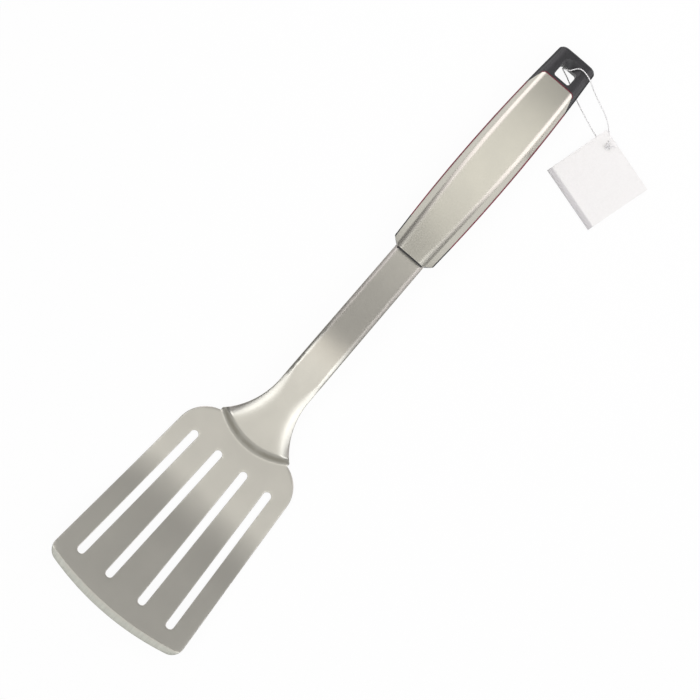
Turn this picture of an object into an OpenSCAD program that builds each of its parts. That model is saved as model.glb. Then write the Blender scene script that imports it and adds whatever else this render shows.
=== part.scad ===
// A slotted steel turner with a covered handle and a paper tag on a string, lying face up.
// The head is one stamping: slotted blade, step, neck, shank and tang in a single sheet.
// The handle is a moulded body, a thin liner and a pressed steel cover over the tang.
// Millimetres, +X towards the end of the handle, +Z up from the surface that the turner lies on.

/* [Blade] */
// Thickness of the stamped steel sheet
sheet_t = 1.5; // [1.2:0.1:1.8]
// Length from the front edge to the foot of the step
blade_l = 105; // [85:1:130]
// Width across the front corners
blade_front_w = 82; // [66:0.2:100]
// Width across the rear corners
blade_rear_w = 68.6; // [57:0.2:84]
// Radius of the curve of the front edge
front_edge_r = 150; // [120:5:300]
// Radius of the front corners
front_corner_r = 7; // [3:0.5:10]
// Radius of the rear corners
rear_corner_r = 17; // [10:0.5:18]
// Distance from the front edge to the bend across the blade
bend_start = 56; // [40:1:60]
// Length of the bend across the blade
bend_l = 22; // [16:1:24]
// Angle of the bend across the blade
bend_angle = 9; // [8:0.5:12]
// Width of the bevel ground on the front edge
bevel_w = 3.9; // [2:0.1:5]
// Radius of the inner edge of the bevel
bevel_r = 170; // [150:5:320]
// Thickness left at the front edge
edge_t = 0.4; // [0.2:0.1:0.8]

/* [Slots] */
// Width of a slot
slot_w = 4.2; // [3:0.1:6]
// Distance from the front edge to the front tips of the slots
slot_front = 14.2; // [10:0.1:20]
// Distance from the rear tips of the slots to the foot of the step
slot_rear = 8.9; // [6:0.1:16]
// Places of the slots' front ends, as shares of half the blade's width there
slot_front_shares = [-0.7, -0.255, 0.255, 0.7];
// Places of the slots' rear ends, as shares of half the blade's width there
slot_rear_shares = [-0.682, -0.237, 0.237, 0.682];

/* [Neck and shank] */
// Height of the step between the blade and the neck
step_h = 3; // [2:0.1:4]
// Length of the slope of the step
step_l = 5.5; // [5:0.1:8]
// Radius of the curve that the step follows across the blade
step_r = 33; // [28:1:60]
// Width of the neck where it leaves the blade
neck_w = 43; // [34:0.5:48]
// Radius of the flare of the neck's sides
flare_r = 39; // [30:1:48]
// Angle of the neck
neck_angle = 17; // [14:0.5:22]
// Length of the neck from the foot of the step to the arch
neck_l = 45; // [36:1:56]
// Length of the arch between the neck and the shank
arch_l = 28; // [22:1:36]
// Angle of the shank and the handle
shank_angle = 4.5; // [3:0.5:6]
// Length of the shank from the arch to the handle
shank_l = 47.3; // [38:0.1:62]
// Width of the shank at the neck
shank_w = 18.1; // [14.8:0.1:19]
// Width of the shank at the handle
shank_end_w = 17.3; // [14:0.1:18]
// Width of the rolled side of the neck
neck_roll_w = 5; // [4:0.1:6]
// Width of the rolled side of the shank
shank_roll_w = 2.2; // [2:0.1:2.8]
// How far the shank's sides are rolled down
shank_roll_h = 1; // [0.6:0.1:1]

/* [Tang] */
// Length of the tang inside the handle
tang_l = 88; // [72:1:94]
// Width of the tang
tang_w = 13; // [11:0.1:14]
// Diameter of the tang's screw holes
tang_hole_d = 4.2; // [4:0.1:5]
// Distance of the first screw from the front of the handle
screw_first = 18; // [14:1:24]
// Distance between the two screws
screw_pitch = 58; // [46:1:62]

/* [Handle body] */
// Length of the handle
handle_l = 128.3; // [118:0.1:155]
// Greatest width of the handle
grip_w = 27.6; // [26:0.1:33]
// Distance from the front of the handle to its widest place
widest_x = 56; // [44:1:62]
// How far the curve of the handle's sides runs in from the widest place to the end
side_fall = 3.1; // [2.6:0.1:4]
// Depth of the handle below the top of the tang
grip_depth = 10; // [9:0.1:12]
// How far the curve of the underside rises from the widest place to the end
belly_fall = 2.65; // [2.2:0.05:3]
// Radius of the lower corners
belly_corner_r = 6; // [4:0.1:7]
// Draft of the body's sides from the parting line to the lower corners
side_draft = 1.2; // [0.5:0.1:2]
// Depth of the parting line below the top of the tang
parting_depth = 1; // [0.8:0.1:1.4]
// Thickness of the moulded walls
wall_t = 2.4; // [2:0.1:3]
// Thickness of the front wall that the shank enters through
front_wall = 6; // [5:0.1:8]
// Width of the front of the handle between its two chamfers
nose_w = 15.6; // [14.8:0.1:18]
// Length of the chamfers at the front of the handle
chamfer_l = 3.7; // [2:0.1:5]
// How far the body's chamfers stand back behind the cover's
chamfer_back = 0.4; // [0.2:0.1:0.8]
// Thickness of the cross ribs under the tang
rib_t = 1.2; // [1:0.1:1.6]
// Diameter of the screw bosses
boss_d = 9; // [8:0.1:10]

/* [Hanging loop] */
// Length of the loop behind the cover
loop_l = 16.3; // [15:0.1:20]
// How far the loop's underside lies above the grip's
loop_rise = 3; // [2:0.1:4]
// Length of the hanging hole
hole_l = 7.3; // [6:0.1:8]
// Width of the hanging hole
hole_w = 9.2; // [7:0.1:11]
// Radius of the hole's corners
hole_corner_r = 1.2; // [0.6:0.1:2]
// Distance from the middle of the hole to the end of the handle
hole_end = 11.3; // [10.6:0.1:11.8]
// Length of the hollow that leads out of the hole
scoop_l = 5.4; // [3:0.1:5.8]
// Width of that hollow
scoop_w = 13; // [11:0.1:14]
// Depth of that hollow at the hole
scoop_h = 3.4; // [2:0.1:4]
// Radius of the edges at the end of the handle
end_edge_r = 1.5; // [1:0.1:2]
// Radius of the end's corners, seen from above
end_corner_r = 3.4; // [1:0.1:4]

/* [Cover and liner] */
// Thickness of the steel cover
cover_t = 0.8; // [0.6:0.1:1]
// Height of the cover above the top of the tang
cover_h = 6; // [5:0.1:7.5]
// Greatest width of the cover between its two creases
crease_w = 20.8; // [19:0.1:22]
// Distance from the front of the handle to the place where the creases lie widest apart
crease_widest_x = 70; // [62:1:76]
// How far the curve of the creases runs in from there to the end
crease_fall = 2.2; // [1.8:0.05:2.6]
// How far the curve of the cover's top falls from the widest place to the end
back_fall = 3.95; // [3:0.05:4.5]
// Radius of the creases themselves
crease_r = 1.8; // [1:0.1:2.2]
// Crown of the cover across its top
cover_crown = 0.4; // [0:0.1:0.6]
// Distance from the front of the handle to the cover
cover_front = 0.6; // [0.4:0.1:1]
// Distance that the cover's sides stop short of its rear edge
rake_l = 8.4; // [5:0.1:10]
// Length that the rounding of the cover's rear corners takes from each side
tail_round_l = 1.6; // [0.8:0.1:2.4]
// Distance from the cover's edge to the handle's outline
reveal = 0.45; // [0.3:0.05:0.8]
// Thickness of the liner
liner_t = 0.7; // [0.5:0.1:1]
// Distance from the front of the handle to the liner
liner_front = 16.5; // [12:0.5:24]
// Thickness of the liner's lip, which shows below and behind the cover
lip_t = 0.8; // [0.6:0.1:1]
// Length of the lip that shows behind the cover
end_lip = 0.4; // [0.3:0.1:0.6]

/* [Screws] */
// Diameter of a screw
screw_d = 3.4; // [3:0.1:3.6]
// Diameter of a screw's head
screw_head_d = 7; // [6:0.1:8]
// Height of a screw's head
screw_head_h = 1.8; // [1.4:0.1:2.2]
// Length of a screw under its head
screw_l = 7; // [5.5:0.1:7.5]

/* [Tag and string] */
// Diameter of the string
string_d = 0.65; // [0.5:0.05:0.8]
// Width of the tag from its fold to its open side
tag_w = 35; // [30:0.5:40]
// Height of the tag
tag_h = 35.5; // [33:0.5:40]
// Thickness of the folded tag
tag_t = 2.4; // [2:0.1:3]
// Thickness of the tag's cover card
card_t = 0.3; // [0.2:0.05:0.5]
// Diameter of the hole punched through the tag
tag_hole_d = 2.4; // [2.2:0.1:2.8]
// Distance of the tag's hole from the fold
tag_hole_x = 30.4; // [27:0.1:32]
// Distance of the tag's hole from the tag's lower edge
tag_hole_y = 28.2; // [26:0.1:30]
// Number of leaves in the tag
leaf_count = 6; // [2:1:8]
// Diameter of the knot
knot_d = 3; // [2.8:0.1:3.6]
// Height of the knot
knot_h = 1.6; // [1.2:0.1:2]

/* [Hidden] */
$fn = 48;
overrun = 1;
fit = 0.1;
loose_fit = 0.3;
tail_gap = 1;
lane_margin = 1;
curve_steps = 5;
round_steps = 5;
// The most of a wall's height that the rounding below it takes
corner_share = 0.8;
// Places of the points across the cover's top and across the flat of the underside, as shares
crown_shares = [0.3, 0.65];
flat_shares = [0.35, 0.7];
// How far a rolled side is carried past the outline, as a share of its width
roll_past_share = 0.3;
// Places of the points across a rolled side and across the flat between the two, as shares
roll_lane_shares = [0, 0.2, 0.4, 0.7, 1];
flat_lane_shares = [0.66, 0.33];
// Places of the ribs between the two screws, and between the front wall and the first, as shares
rib_shares = [0.25, 0.5, 0.75];
front_rib_share = 0.2;
scoop_steps = 4;

// Half widths
front_half = blade_front_w / 2;
rear_half = blade_rear_w / 2;
neck_half = neck_w / 2;
shank_half = shank_w / 2;
shank_end_half = shank_end_w / 2;

// Places along the tool, from the front edge
bend_end = bend_start + bend_l;
neck_x = blade_l + arc_drop(neck_half, step_r);
flare_l = sqrt(pow(flare_r, 2) - pow(flare_r - neck_half + shank_half, 2));
flare_end = neck_x + flare_l;
arch_start = blade_l + neck_l;
arch_end = arch_start + arch_l;
handle_x = arch_end + shank_l;

// Radii of the handle's long curves
side_r = fall_r(side_fall, widest_x);
crease_side_r = fall_r(crease_fall, crease_widest_x);
back_r = fall_r(back_fall, widest_x);
belly_r = fall_r(belly_fall, widest_x);

// Centres of the blade's rounded corners
front_corner = [
    front_edge_r - sqrt(pow(front_edge_r - front_corner_r, 2) - pow(front_half - front_corner_r, 2)),
    front_half - front_corner_r
];
rear_corner = [neck_x - tail_gap - rear_corner_r, rear_half - rear_corner_r];

// Where the sheet turns, as [distance along the tool, angle from there on]; between two places
// with different angles it follows a circular arc
blade_turns = [[-overrun, 0], [bend_start, 0], [bend_end, bend_angle], [handle_x, bend_angle]];
spine_turns = [
    [blade_l, neck_angle], [arch_start, neck_angle], [arch_end, shank_angle],
    [handle_x + handle_l, shank_angle]
];

// Width and depth of the rolled sides along the neck and the shank
roll_widths = [[neck_x, neck_roll_w], [arch_start, shank_roll_w]];
roll_depths = [[neck_x, step_h], [flare_end, shank_roll_h]];

// The rest pose: the line that touches the underside of the bend and the belly of the handle
bend_r = bend_l / sin(bend_angle);
bend_centre = [bend_start, sheet_t + bend_r];
bend_under_r = sheet_t + bend_r;
handle_z = spine_z(handle_x);
belly_centre = [
    handle_x + widest_x * cos(shank_angle) - (belly_r - grip_depth) * sin(shank_angle),
    handle_z + widest_x * sin(shank_angle) + (belly_r - grip_depth) * cos(shank_angle)
];
centre_gap = belly_centre - bend_centre;
rest_tilt = atan2(centre_gap[1], centre_gap[0]) + asin((bend_under_r - belly_r) / norm(centre_gap));
rest_lift = sin(rest_tilt) * bend_centre[0] - cos(rest_tilt) * bend_centre[1] + bend_under_r;
total_l = handle_x * cos(rest_tilt) + handle_z * sin(rest_tilt)
    + handle_l * cos(rest_tilt - shank_angle);

// Places along the handle, from its front
cover_end = handle_l - loop_l - end_lip;
rake_start = handle_l - loop_l - rake_l;
ramp_l = loop_l / 3;
ramp_start = handle_l - loop_l - ramp_l;
cavity_end = ramp_start - wall_t;
hole_x = handle_l - hole_end;
parting_z = -parting_depth;
sill_z = -sheet_t;

// Where the lower end of the tag's fold lies, how the tag is turned, and the tilt that the string
// under it gives the tag
tag_place = [117.9, -57.9];
tag_turn = -15;
tag_tilt = asin((string_d + 2 * loose_fit - fit) / tag_hole_x);

// The string's route, from the knot under the tag's corner, up through the hanging hole, over the
// end of the handle and back to the knot
string_route = [
    [154.1, -38.6, 3.6], [154.1, -38.6, 2.1], [154.1, -38.4, 1.3], [154.1, -37.8, 0.7],
    [154.2, -36.8, 0.5], [154.8, -33.8, 0.5], [156, -29.4, 0.5], [158, -23.8, 0.5],
    [160.2, -18.2, 0.5], [162.4, -13, 0.5], [164.6, -8.4, 0.6], [166.6, -4.4, 0.8],
    [168.2, -1, 1.2], [169, 1.4, 2], [169.3, 2.9, 3.6], [169.3, 3.2, 5.4],
    [169.3, 2.4, 6.9], [169.6, 0.9, 7.9], [170.4, -0.5, 8.6], [171.6, -1.4, 9.2],
    [172.8, -2.5, 10.2], [173.6, -4, 10.9], [173.7, -6.2, 10.9], [173.3, -8.5, 10.5],
    [172.7, -10.8, 9.5], [172.2, -12.3, 7.6], [171.8, -13.7, 5.4], [171.2, -15.7, 3.2],
    [170.3, -18.3, 1.5], [169, -21.5, 0.7], [167.6, -25, 0.5], [165.9, -28.4, 0.5],
    [163.8, -31.6, 0.5], [161.2, -34.4, 0.5], [158.6, -36.4, 0.5], [156.4, -37.8, 0.5],
    [155.7, -38.2, 0.7], [155.2, -38.5, 1.3], [155, -38.6, 2.1], [155, -38.6, 3.6]
];
route_steps = 2;
string_sides = 8;

// Arithmetic

// How far a circle of radius r falls away at the distance d from its top
function arc_drop(d, r) = r - sqrt(r * r - d * d);
// Radius of a circle that falls away so far between its top at the place x and the handle's end
function fall_r(fall, x) = (pow(handle_l - x, 2) + fall * fall) / (2 * fall);
function clamp(v, low, high) = min(max(v, low), high);
function mix(a, b, share) = a + (b - a) * share;
function unit(v) = v / norm(v);
function reversed(list) = [for (i = [len(list) - 1:-1:0]) list[i]];
// A smooth rise from 0 to 1 as share goes from 0 to 1
function ease(share) = (1 - cos(180 * clamp(share, 0, 1))) / 2;
// Points of a rounded corner at b, reach from it along the lines to a and to c
function corner(a, b, c, reach, steps) =
    let (p = b + unit(a - b) * reach, q = b + unit(c - b) * reach)
    [for (i = [0:steps]) mix(mix(p, b, i / steps), mix(b, q, i / steps), i / steps)];
// Height gained up to x along a list of turns
function rise(x, turns, i = 0) =
    i + 1 >= len(turns) || x <= turns[i][0] ? 0 :
    let (
        whole = turns[i + 1][0] - turns[i][0],
        run = min(x, turns[i + 1][0]) - turns[i][0],
        a = sin(turns[i][1]),
        b = mix(a, sin(turns[i + 1][1]), run / whole)
    )
    (turns[i][1] == turns[i + 1][1] || run == 0 ? run * tan(turns[i][1]) :
        run * (cos(asin(a)) - cos(asin(b))) / (b - a))
        + rise(x, turns, i + 1);

// The pressed form of the head: heights of the top of the sheet

function blade_z(x) = sheet_t + rise(x, blade_turns);
function spine_z(x) = blade_z(blade_l) + step_h + rise(x, spine_turns);
function foot_x(y) = blade_l + y * y / (2 * step_r);
function neck_half_at(x) =
    x < neck_x ? neck_half :
    x < flare_end ? shank_half + arc_drop(flare_end - x, flare_r) :
    mix(shank_half, shank_end_half, (x - flare_end) / (handle_x - flare_end));
function roll_share(x, y) =
    max((neck_half_at(x) - abs(y)) / lookup(x, roll_widths), -roll_past_share);
function neck_z(x, y) =
    spine_z(x) - lookup(x, roll_depths) * (1 - sin(90 * min(roll_share(x, y), 1)));
function head_z(x, y) =
    mix(blade_z(x), neck_z(x, y), ease((x - foot_x(y)) / step_l));

// Rows of points across the head: each is bowed like the step, less so away from it, and runs
// straight on beside the neck
bow_shares = [[bend_end, 0], [blade_l, 1], [blade_l + step_l, 1], [flare_end, 0]];
bow_half = neck_half + lane_margin;
row_places = concat(
    [-overrun],
    [for (i = [0:curve_steps]) bend_start + bend_l * i / curve_steps],
    [for (i = [0:2 * curve_steps]) blade_l + step_l * i / (2 * curve_steps)],
    [for (i = [1:2 * curve_steps]) mix(blade_l + step_l, flare_end, i / (2 * curve_steps))],
    [for (i = [0:curve_steps]) arch_start + arch_l * i / curve_steps],
    [handle_x, handle_x + tang_l + overrun]
);
function outer_lane(u) =
    u > blade_l + step_l ? neck_half_at(u) + lane_margin : front_half + lane_margin;
function half_lanes(u) =
    let (w = neck_half_at(u), band = lookup(u, roll_widths))
    concat(
        [outer_lane(u)],
        [for (s = roll_lane_shares) w - band * s],
        [for (s = flat_lane_shares) (w - band) * s]
    );
function head_row(u) =
    let (half = half_lanes(u), lanes = concat(-half, reversed(half)), bow = lookup(u, bow_shares))
    [for (y = lanes)
        let (x = u + bow * pow(min(abs(y), bow_half), 2) / (2 * step_r))
        [x, y, head_z(x, y)]];

// The underside of a grid of points, t below it along the local normal
function under(rows, t) =
    let (m = len(rows) - 1, n = len(rows[0]) - 1)
    [for (i = [0:m]) [for (j = [0:n])
        let (
            along = rows[min(i + 1, m)][j] - rows[max(i - 1, 0)][j],
            across = rows[i][min(j + 1, n)] - rows[i][max(j - 1, 0)]
        )
        rows[i][j] - unit(cross(along, across)) * t
    ]];

// A closed solid between two grids of points with as many rows and columns, the first above
module between(upper, lower) {
    m = len(upper);
    n = len(upper[0]);
    base = m * n;
    points = concat([for (row = upper) for (p = row) p], [for (row = lower) for (p = row) p]);
    top = [for (i = [0:m - 2]) for (j = [0:n - 2])
        let (a = i * n + j) each [[a, a + 1, a + n], [a + 1, a + n + 1, a + n]]];
    bottom = [for (f = top) [f[0] + base, f[2] + base, f[1] + base]];
    ends = [for (j = [0:n - 2]) let (a = j, b = (m - 1) * n + j)
        each [[a, a + base, a + 1], [a + 1, a + base, a + base + 1],
            [b, b + 1, b + base], [b + 1, b + base + 1, b + base]]];
    sides = [for (i = [0:m - 2]) let (a = i * n, b = i * n + n - 1)
        each [[a, a + n, a + base], [a + n, a + n + base, a + base],
            [b, b + base, b + n], [b + n, b + base, b + n + base]]];
    polyhedron(points, concat(top, bottom, ends, sides), convexity = 10);
}

// Outlines of the head, seen from above

module blade_outline() {
    hull() {
        intersection() {
            translate([front_edge_r, 0])
                circle(front_edge_r, $fn = 240);
            translate([0, -front_corner[1]])
                square([front_corner[0], 2 * front_corner[1]]);
        }
        for (side = [-1, 1]) {
            translate([front_corner[0], side * front_corner[1]])
                circle(front_corner_r);
            translate([rear_corner[0], side * rear_corner[1]])
                circle(rear_corner_r);
        }
    }
}

module neck_outline() {
    difference() {
        translate([rear_corner[0], -neck_half])
            square([flare_end - rear_corner[0], neck_w]);
        for (side = [-1, 1])
            translate([flare_end, side * (shank_half + flare_r)])
                circle(flare_r, $fn = 160);
    }
}

module shank_outline() {
    tang_half = tang_w / 2;
    shoulder = handle_x + front_wall;
    tang_end = handle_x + tang_l;
    start = flare_end - overrun;
    start_half = mix(shank_end_half, shank_half, (handle_x - start) / (handle_x - flare_end));
    polygon([
        [start, -start_half], [handle_x, -shank_end_half], [shoulder, -shank_end_half],
        [shoulder + overrun, -tang_half], [tang_end - tang_half, -tang_half],
        [tang_end, -tang_half / 2], [tang_end, tang_half / 2], [tang_end - tang_half, tang_half],
        [shoulder + overrun, tang_half], [shoulder, shank_end_half],
        [handle_x, shank_end_half], [start, start_half]
    ]);
}

// Half the blade's width on the straight sides
function blade_half_at(x) =
    mix(front_half, rear_half, (x - front_corner[0]) / (rear_corner[0] - front_corner[0]));

module slot(share_front, share_rear) {
    ends = [slot_front + slot_w / 2, blade_l - slot_rear - slot_w / 2];
    a = [ends[0], share_front * blade_half_at(ends[0])];
    b = [ends[1], share_rear * blade_half_at(ends[1])];
    for (p = [a, b])
        translate(p)
            circle(d = slot_w);
    translate(a)
        rotate(atan2(b[1] - a[1], b[0] - a[0]))
            translate([0, -slot_w / 2])
                square([norm(b - a), slot_w]);
}

// What the grinding of the front edge takes away: the blade outside a wide cone
module bevel_cut() {
    fall = (sheet_t - edge_t) / bevel_w;
    top_z = sheet_t + overrun;
    low_z = -overrun;
    difference() {
        translate([-overrun, -front_half - overrun, low_z])
            cube([front_corner[0] + overrun, blade_front_w + 2 * overrun, top_z - low_z]);
        translate([bevel_w + bevel_r, 0, low_z - overrun])
            cylinder(
                r1 = bevel_r + (sheet_t - low_z + overrun) / fall,
                r2 = bevel_r - 2 * overrun / fall,
                h = top_z - low_z + 2 * overrun,
                $fn = 720
            );
    }
}

// The handle's own sections: half rows of points from the middle outwards

function half_w(x) = grip_w / 2 - arc_drop(x - widest_x, side_r);
function crease_half(x) = crease_w / 2 - arc_drop(x - crease_widest_x, crease_side_r);
function back_z(x) = cover_h - arc_drop(x - widest_x, back_r);
function belly_z(x) =
    -grip_depth + arc_drop(x - widest_x, belly_r) + loop_rise * ease((x - ramp_start) / ramp_l);

// The cover's section, inset by its thickness or more, with its sides ending at the height foot
function cover_half(x, inset, foot) =
    let (
        crease = [crease_half(x), back_z(x) - cover_crown],
        edge = [half_w(x) - reveal, parting_z],
        slope = (edge[0] - crease[0]) / (crease[1] - edge[1]),
        shift = inset * norm(crease - edge) / (crease[1] - edge[1]),
        z = crease[1] - inset,
        at = [crease[0] + slope * (crease[1] - z) - shift, z],
        end = [crease[0] + slope * (crease[1] - foot) - shift, foot],
        crown = [for (s = crown_shares) [at[0] * s, z + cover_crown * (1 - s * s)]]
    )
    concat(crown, corner(crown[1], at, end, crease_r - inset / 2, round_steps), [end]);
// The body's underside, inset by a wall, with its sides ending at the height top
function belly_half(x, inset, top) =
    let (
        w = half_w(x) - inset,
        low = belly_z(x) + inset,
        turn = [w - side_draft, low],
        r = min(belly_corner_r - inset / 2, (top - low) * corner_share)
    )
    concat(
        [for (s = flat_shares) [(turn[0] - r) * s, low]],
        corner([0, low], turn, [w, top], r, round_steps),
        [[w, top]]
    );
// A full row from a half: mirrored to the other side
function full_row(x, half) =
    concat([for (p = reversed(half)) [x, -p[0], p[1]]], [for (p = half) [x, p[0], p[1]]]);
function flat_row(x, half, z) = full_row(x, [for (p = half) [p[0], z]]);

// Places of the handle's rows, with the end's rounding as [place, inset]
grip_rows = 14;
handle_places = concat(
    [for (i = [0:grip_rows]) [ramp_start * i / grip_rows, 0]],
    [for (i = [1:round_steps]) [ramp_start + ramp_l * i / round_steps, 0]],
    [for (i = [0:round_steps]) let (a = 90 * i / round_steps)
        [handle_l - end_edge_r * (1 - sin(a)), end_edge_r * (1 - cos(a))]]
);
cover_places = [for (i = [0:grip_rows]) mix(-overrun, handle_l - loop_l, i / grip_rows)];

// A line through p and q, at a multiple of the distance between them
function along(p, q, share) = p + (q - p) * share;
// The plan of the cover, whose sides run past the handle's and whose ends are cut square and raked
module cover_plan(front, end) {
    nose = [front, nose_w / 2];
    cheek = [chamfer_l, half_w(chamfer_l)];
    tail = [end, crease_half(cover_end)];
    hip = [rake_start, half_w(rake_start) - reveal];
    rounding = corner([end, 0], tail, hip, tail_round_l, round_steps);
    half = concat([nose, along(nose, cheek, 2), along(tail, hip, 2)], reversed(rounding));
    polygon(concat(half, [for (p = reversed(half)) [p[0], -p[1]]]));
}

// The strip under the cover's rear edge, with the corners rounded in the same way
module tail_plan(end, half) {
    rounding = corner([end, 0], [end, half], [end - rake_l, grip_w / 2], tail_round_l, round_steps);
    side = concat(rounding, [[end - rake_l, half]]);
    polygon(concat(side, [for (p = reversed(side)) [p[0], -p[1]]]));
}

module handle_plan() {
    edge = half_w(handle_l) + reveal;
    nose = [cover_front + chamfer_back, nose_w / 2];
    cheek = [chamfer_l + chamfer_back, half_w(chamfer_l)];
    half = [[0, nose_w / 2], nose, cheek, [cheek[0], grip_w], [handle_l + overrun, grip_w]];
    intersection() {
        polygon(concat(half, [for (p = reversed(half)) [p[0], -p[1]]]));
        union() {
            translate([0, -grip_w])
                square([handle_l - end_corner_r, 2 * grip_w]);
            hull()
                for (side = [-1, 1])
                    translate([handle_l - end_corner_r, side * (edge - end_corner_r)])
                        circle(end_corner_r);
        }
    }
}

module rounded_rectangle(l, w, r) {
    for (x = [-1, 1], y = [-1, 1])
        translate([x * (l / 2 - r), y * (w / 2 - r)])
            circle(r);
    square([l - 2 * r, w], center = true);
    square([l, w - 2 * r], center = true);
}

// The whole outside of the handle, with the small ledge that the cover's edge stands back from
module handle_form() {
    between(
        [for (p = handle_places)
            let (x = p[0], i = p[1], cover = cover_half(x, i, parting_z))
            full_row(x, concat(cover, [[half_w(x) - i, parting_z]]))],
        [for (p = handle_places)
            let (x = p[0], i = p[1], belly = belly_half(x, i, parting_z - overrun))
            full_row(x, concat([[belly[0][0] / 2, belly[0][1]]], belly))]
    );
}

// A thin pressed sheet in the handle's form: the part of a cover section between two insets
module handle_skin(places, outer, inner, foot) {
    between(
        [for (x = places) full_row(x, cover_half(x, outer, foot))],
        [for (x = places) full_row(x, cover_half(x, inner, foot))]
    );
}

// The block under the front of the cover, which the shank passes through
module front_block() {
    half = [for (x = [-overrun, front_wall]) cover_half(x, cover_t + fit, parting_z)];
    between(
        [for (i = [0, 1]) full_row([-overrun, front_wall][i], half[i])],
        [for (i = [0, 1]) flat_row([-overrun, front_wall][i], half[i], parting_z - overrun)]
    );
}

// The section of the shank with its clearance in the front wall
module shank_passage() {
    flat = shank_end_half - shank_roll_w;
    side = shank_end_half + fit;
    fall = shank_roll_h * PI / 2 / shank_roll_w;
    low_z = -shank_roll_h - sheet_t * norm([1, fall]) - fit;
    polygon([
        [-side, fit], [side, fit], [side, low_z], [flat + shank_roll_w / 2, low_z],
        [flat, -sheet_t - fit], [-flat, -sheet_t - fit], [-flat - shank_roll_w / 2, low_z],
        [-side, low_z]
    ]);
}

screw_places = [screw_first, screw_first + screw_pitch];
rib_places = concat(
    [mix(front_wall, screw_first, front_rib_share)],
    [for (s = rib_shares) screw_first + screw_pitch * s]
);

// The hollow under the tang, with the bosses and cross ribs left standing in it
module cavity() {
    places = [for (i = [0:grip_rows / 2]) mix(front_wall, cavity_end, 2 * i / grip_rows)];
    difference() {
        between(
            [for (x = places) flat_row(x, belly_half(x, wall_t, parting_z), parting_z + overrun)],
            [for (x = places) full_row(x, belly_half(x, wall_t, parting_z))]
        );
        for (x = screw_places)
            translate([x, 0, -grip_depth])
                cylinder(d = boss_d, h = grip_depth + sill_z);
        for (x = rib_places)
            translate([x, -grip_w / 2, -grip_depth])
                cube([rib_t, grip_w, grip_depth + sill_z - fit]);
    }
}

// Frames in which the pieces are drawn

module at_rest() {
    translate([-total_l / 2, 0, rest_lift])
        rotate([0, rest_tilt, 0])
            children();
}

module on_handle() {
    at_rest()
        translate([handle_x, 0, handle_z])
            rotate([0, -shank_angle, 0])
                children();
}

module on_tag() {
    translate(concat(tag_place, [0]))
        rotate([0, 0, tag_turn])
            rotate([0, -tag_tilt, 0])
                children();
}

// The pieces

module turner_head() {
    rows = [for (u = row_places) head_row(u)];
    color("silver")
    difference() {
        at_rest()
            difference() {
                intersection() {
                    between(rows, under(rows, sheet_t));
                    translate([0, 0, -overrun])
                        linear_extrude(spine_z(handle_x + tang_l) + 2 * overrun)
                            difference() {
                                union() {
                                    blade_outline();
                                    neck_outline();
                                    shank_outline();
                                }
                                for (i = [0:len(slot_front_shares) - 1])
                                    slot(slot_front_shares[i], slot_rear_shares[i]);
                            }
                }
                bevel_cut();
            }
        on_handle()
            for (x = screw_places)
                translate([x, 0, -sheet_t - overrun])
                    cylinder(d = tang_hole_d, h = sheet_t + 2 * overrun);
    }
}

module handle_body() {
    high = cover_h + overrun;
    color([0.16, 0.16, 0.17])
    on_handle()
        difference() {
            intersection() {
                handle_form();
                translate([0, 0, -grip_depth - overrun])
                    linear_extrude(grip_depth + cover_h + 2 * overrun)
                        handle_plan();
            }
            difference() {
                translate([0, 0, parting_z])
                    linear_extrude(high - parting_z)
                        union() {
                            cover_plan(-overrun, cover_end + fit);
                            tail_plan(cover_end + end_lip, crease_half(cover_end));
                        }
                front_block();
            }
            translate([0, 0, parting_z - lip_t])
                linear_extrude(lip_t + overrun)
                    intersection() {
                        cover_plan(-overrun, cover_end + fit);
                        translate([liner_front - fit, -grip_w])
                            square([handle_l, 2 * grip_w]);
                    }
            cavity();
            translate([-overrun, 0, 0])
                rotate([90, 0, 90])
                    linear_extrude(front_wall + 2 * overrun)
                        shank_passage();
            for (x = screw_places)
                translate([x, 0, sill_z - screw_l])
                    cylinder(d = screw_d + 2 * fit, h = screw_l + overrun);
            translate([hole_x, 0, -grip_depth])
                linear_extrude(grip_depth + high)
                    rounded_rectangle(hole_l, hole_w, hole_corner_r);
            scoop();
        }
}

// The soft hollow that leads out of the hanging hole towards the end of the handle: it is deepest
// at the hole's end wall and fades out to all sides
module scoop() {
    brow = hole_x - hole_l / 2;
    lip = hole_x + hole_l / 2;
    brink = lip + scoop_l;
    clear = scoop_h / 10;
    rows = [for (x = concat(
        [for (i = [0:scoop_steps - 1]) mix(brow, lip, i / scoop_steps)],
        [for (i = [0:scoop_steps]) mix(lip, brink, i / scoop_steps)]
    ))
        let (deep = x < lip ? ease((x - brow) / hole_l) : ease((brink - x) / scoop_l))
        [for (i = [-scoop_steps:scoop_steps])
            let (
                share = i / scoop_steps,
                y = share * scoop_w / 2,
                top = back_z(x) - cover_crown * pow(y / crease_half(x), 2)
            )
            [x, y, top + clear - (scoop_h + clear) * deep * ease(1 - abs(share))]
        ]];
    between([for (row = rows) [for (p = row) [p[0], p[1], cover_h + overrun]]], rows);
}

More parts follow.
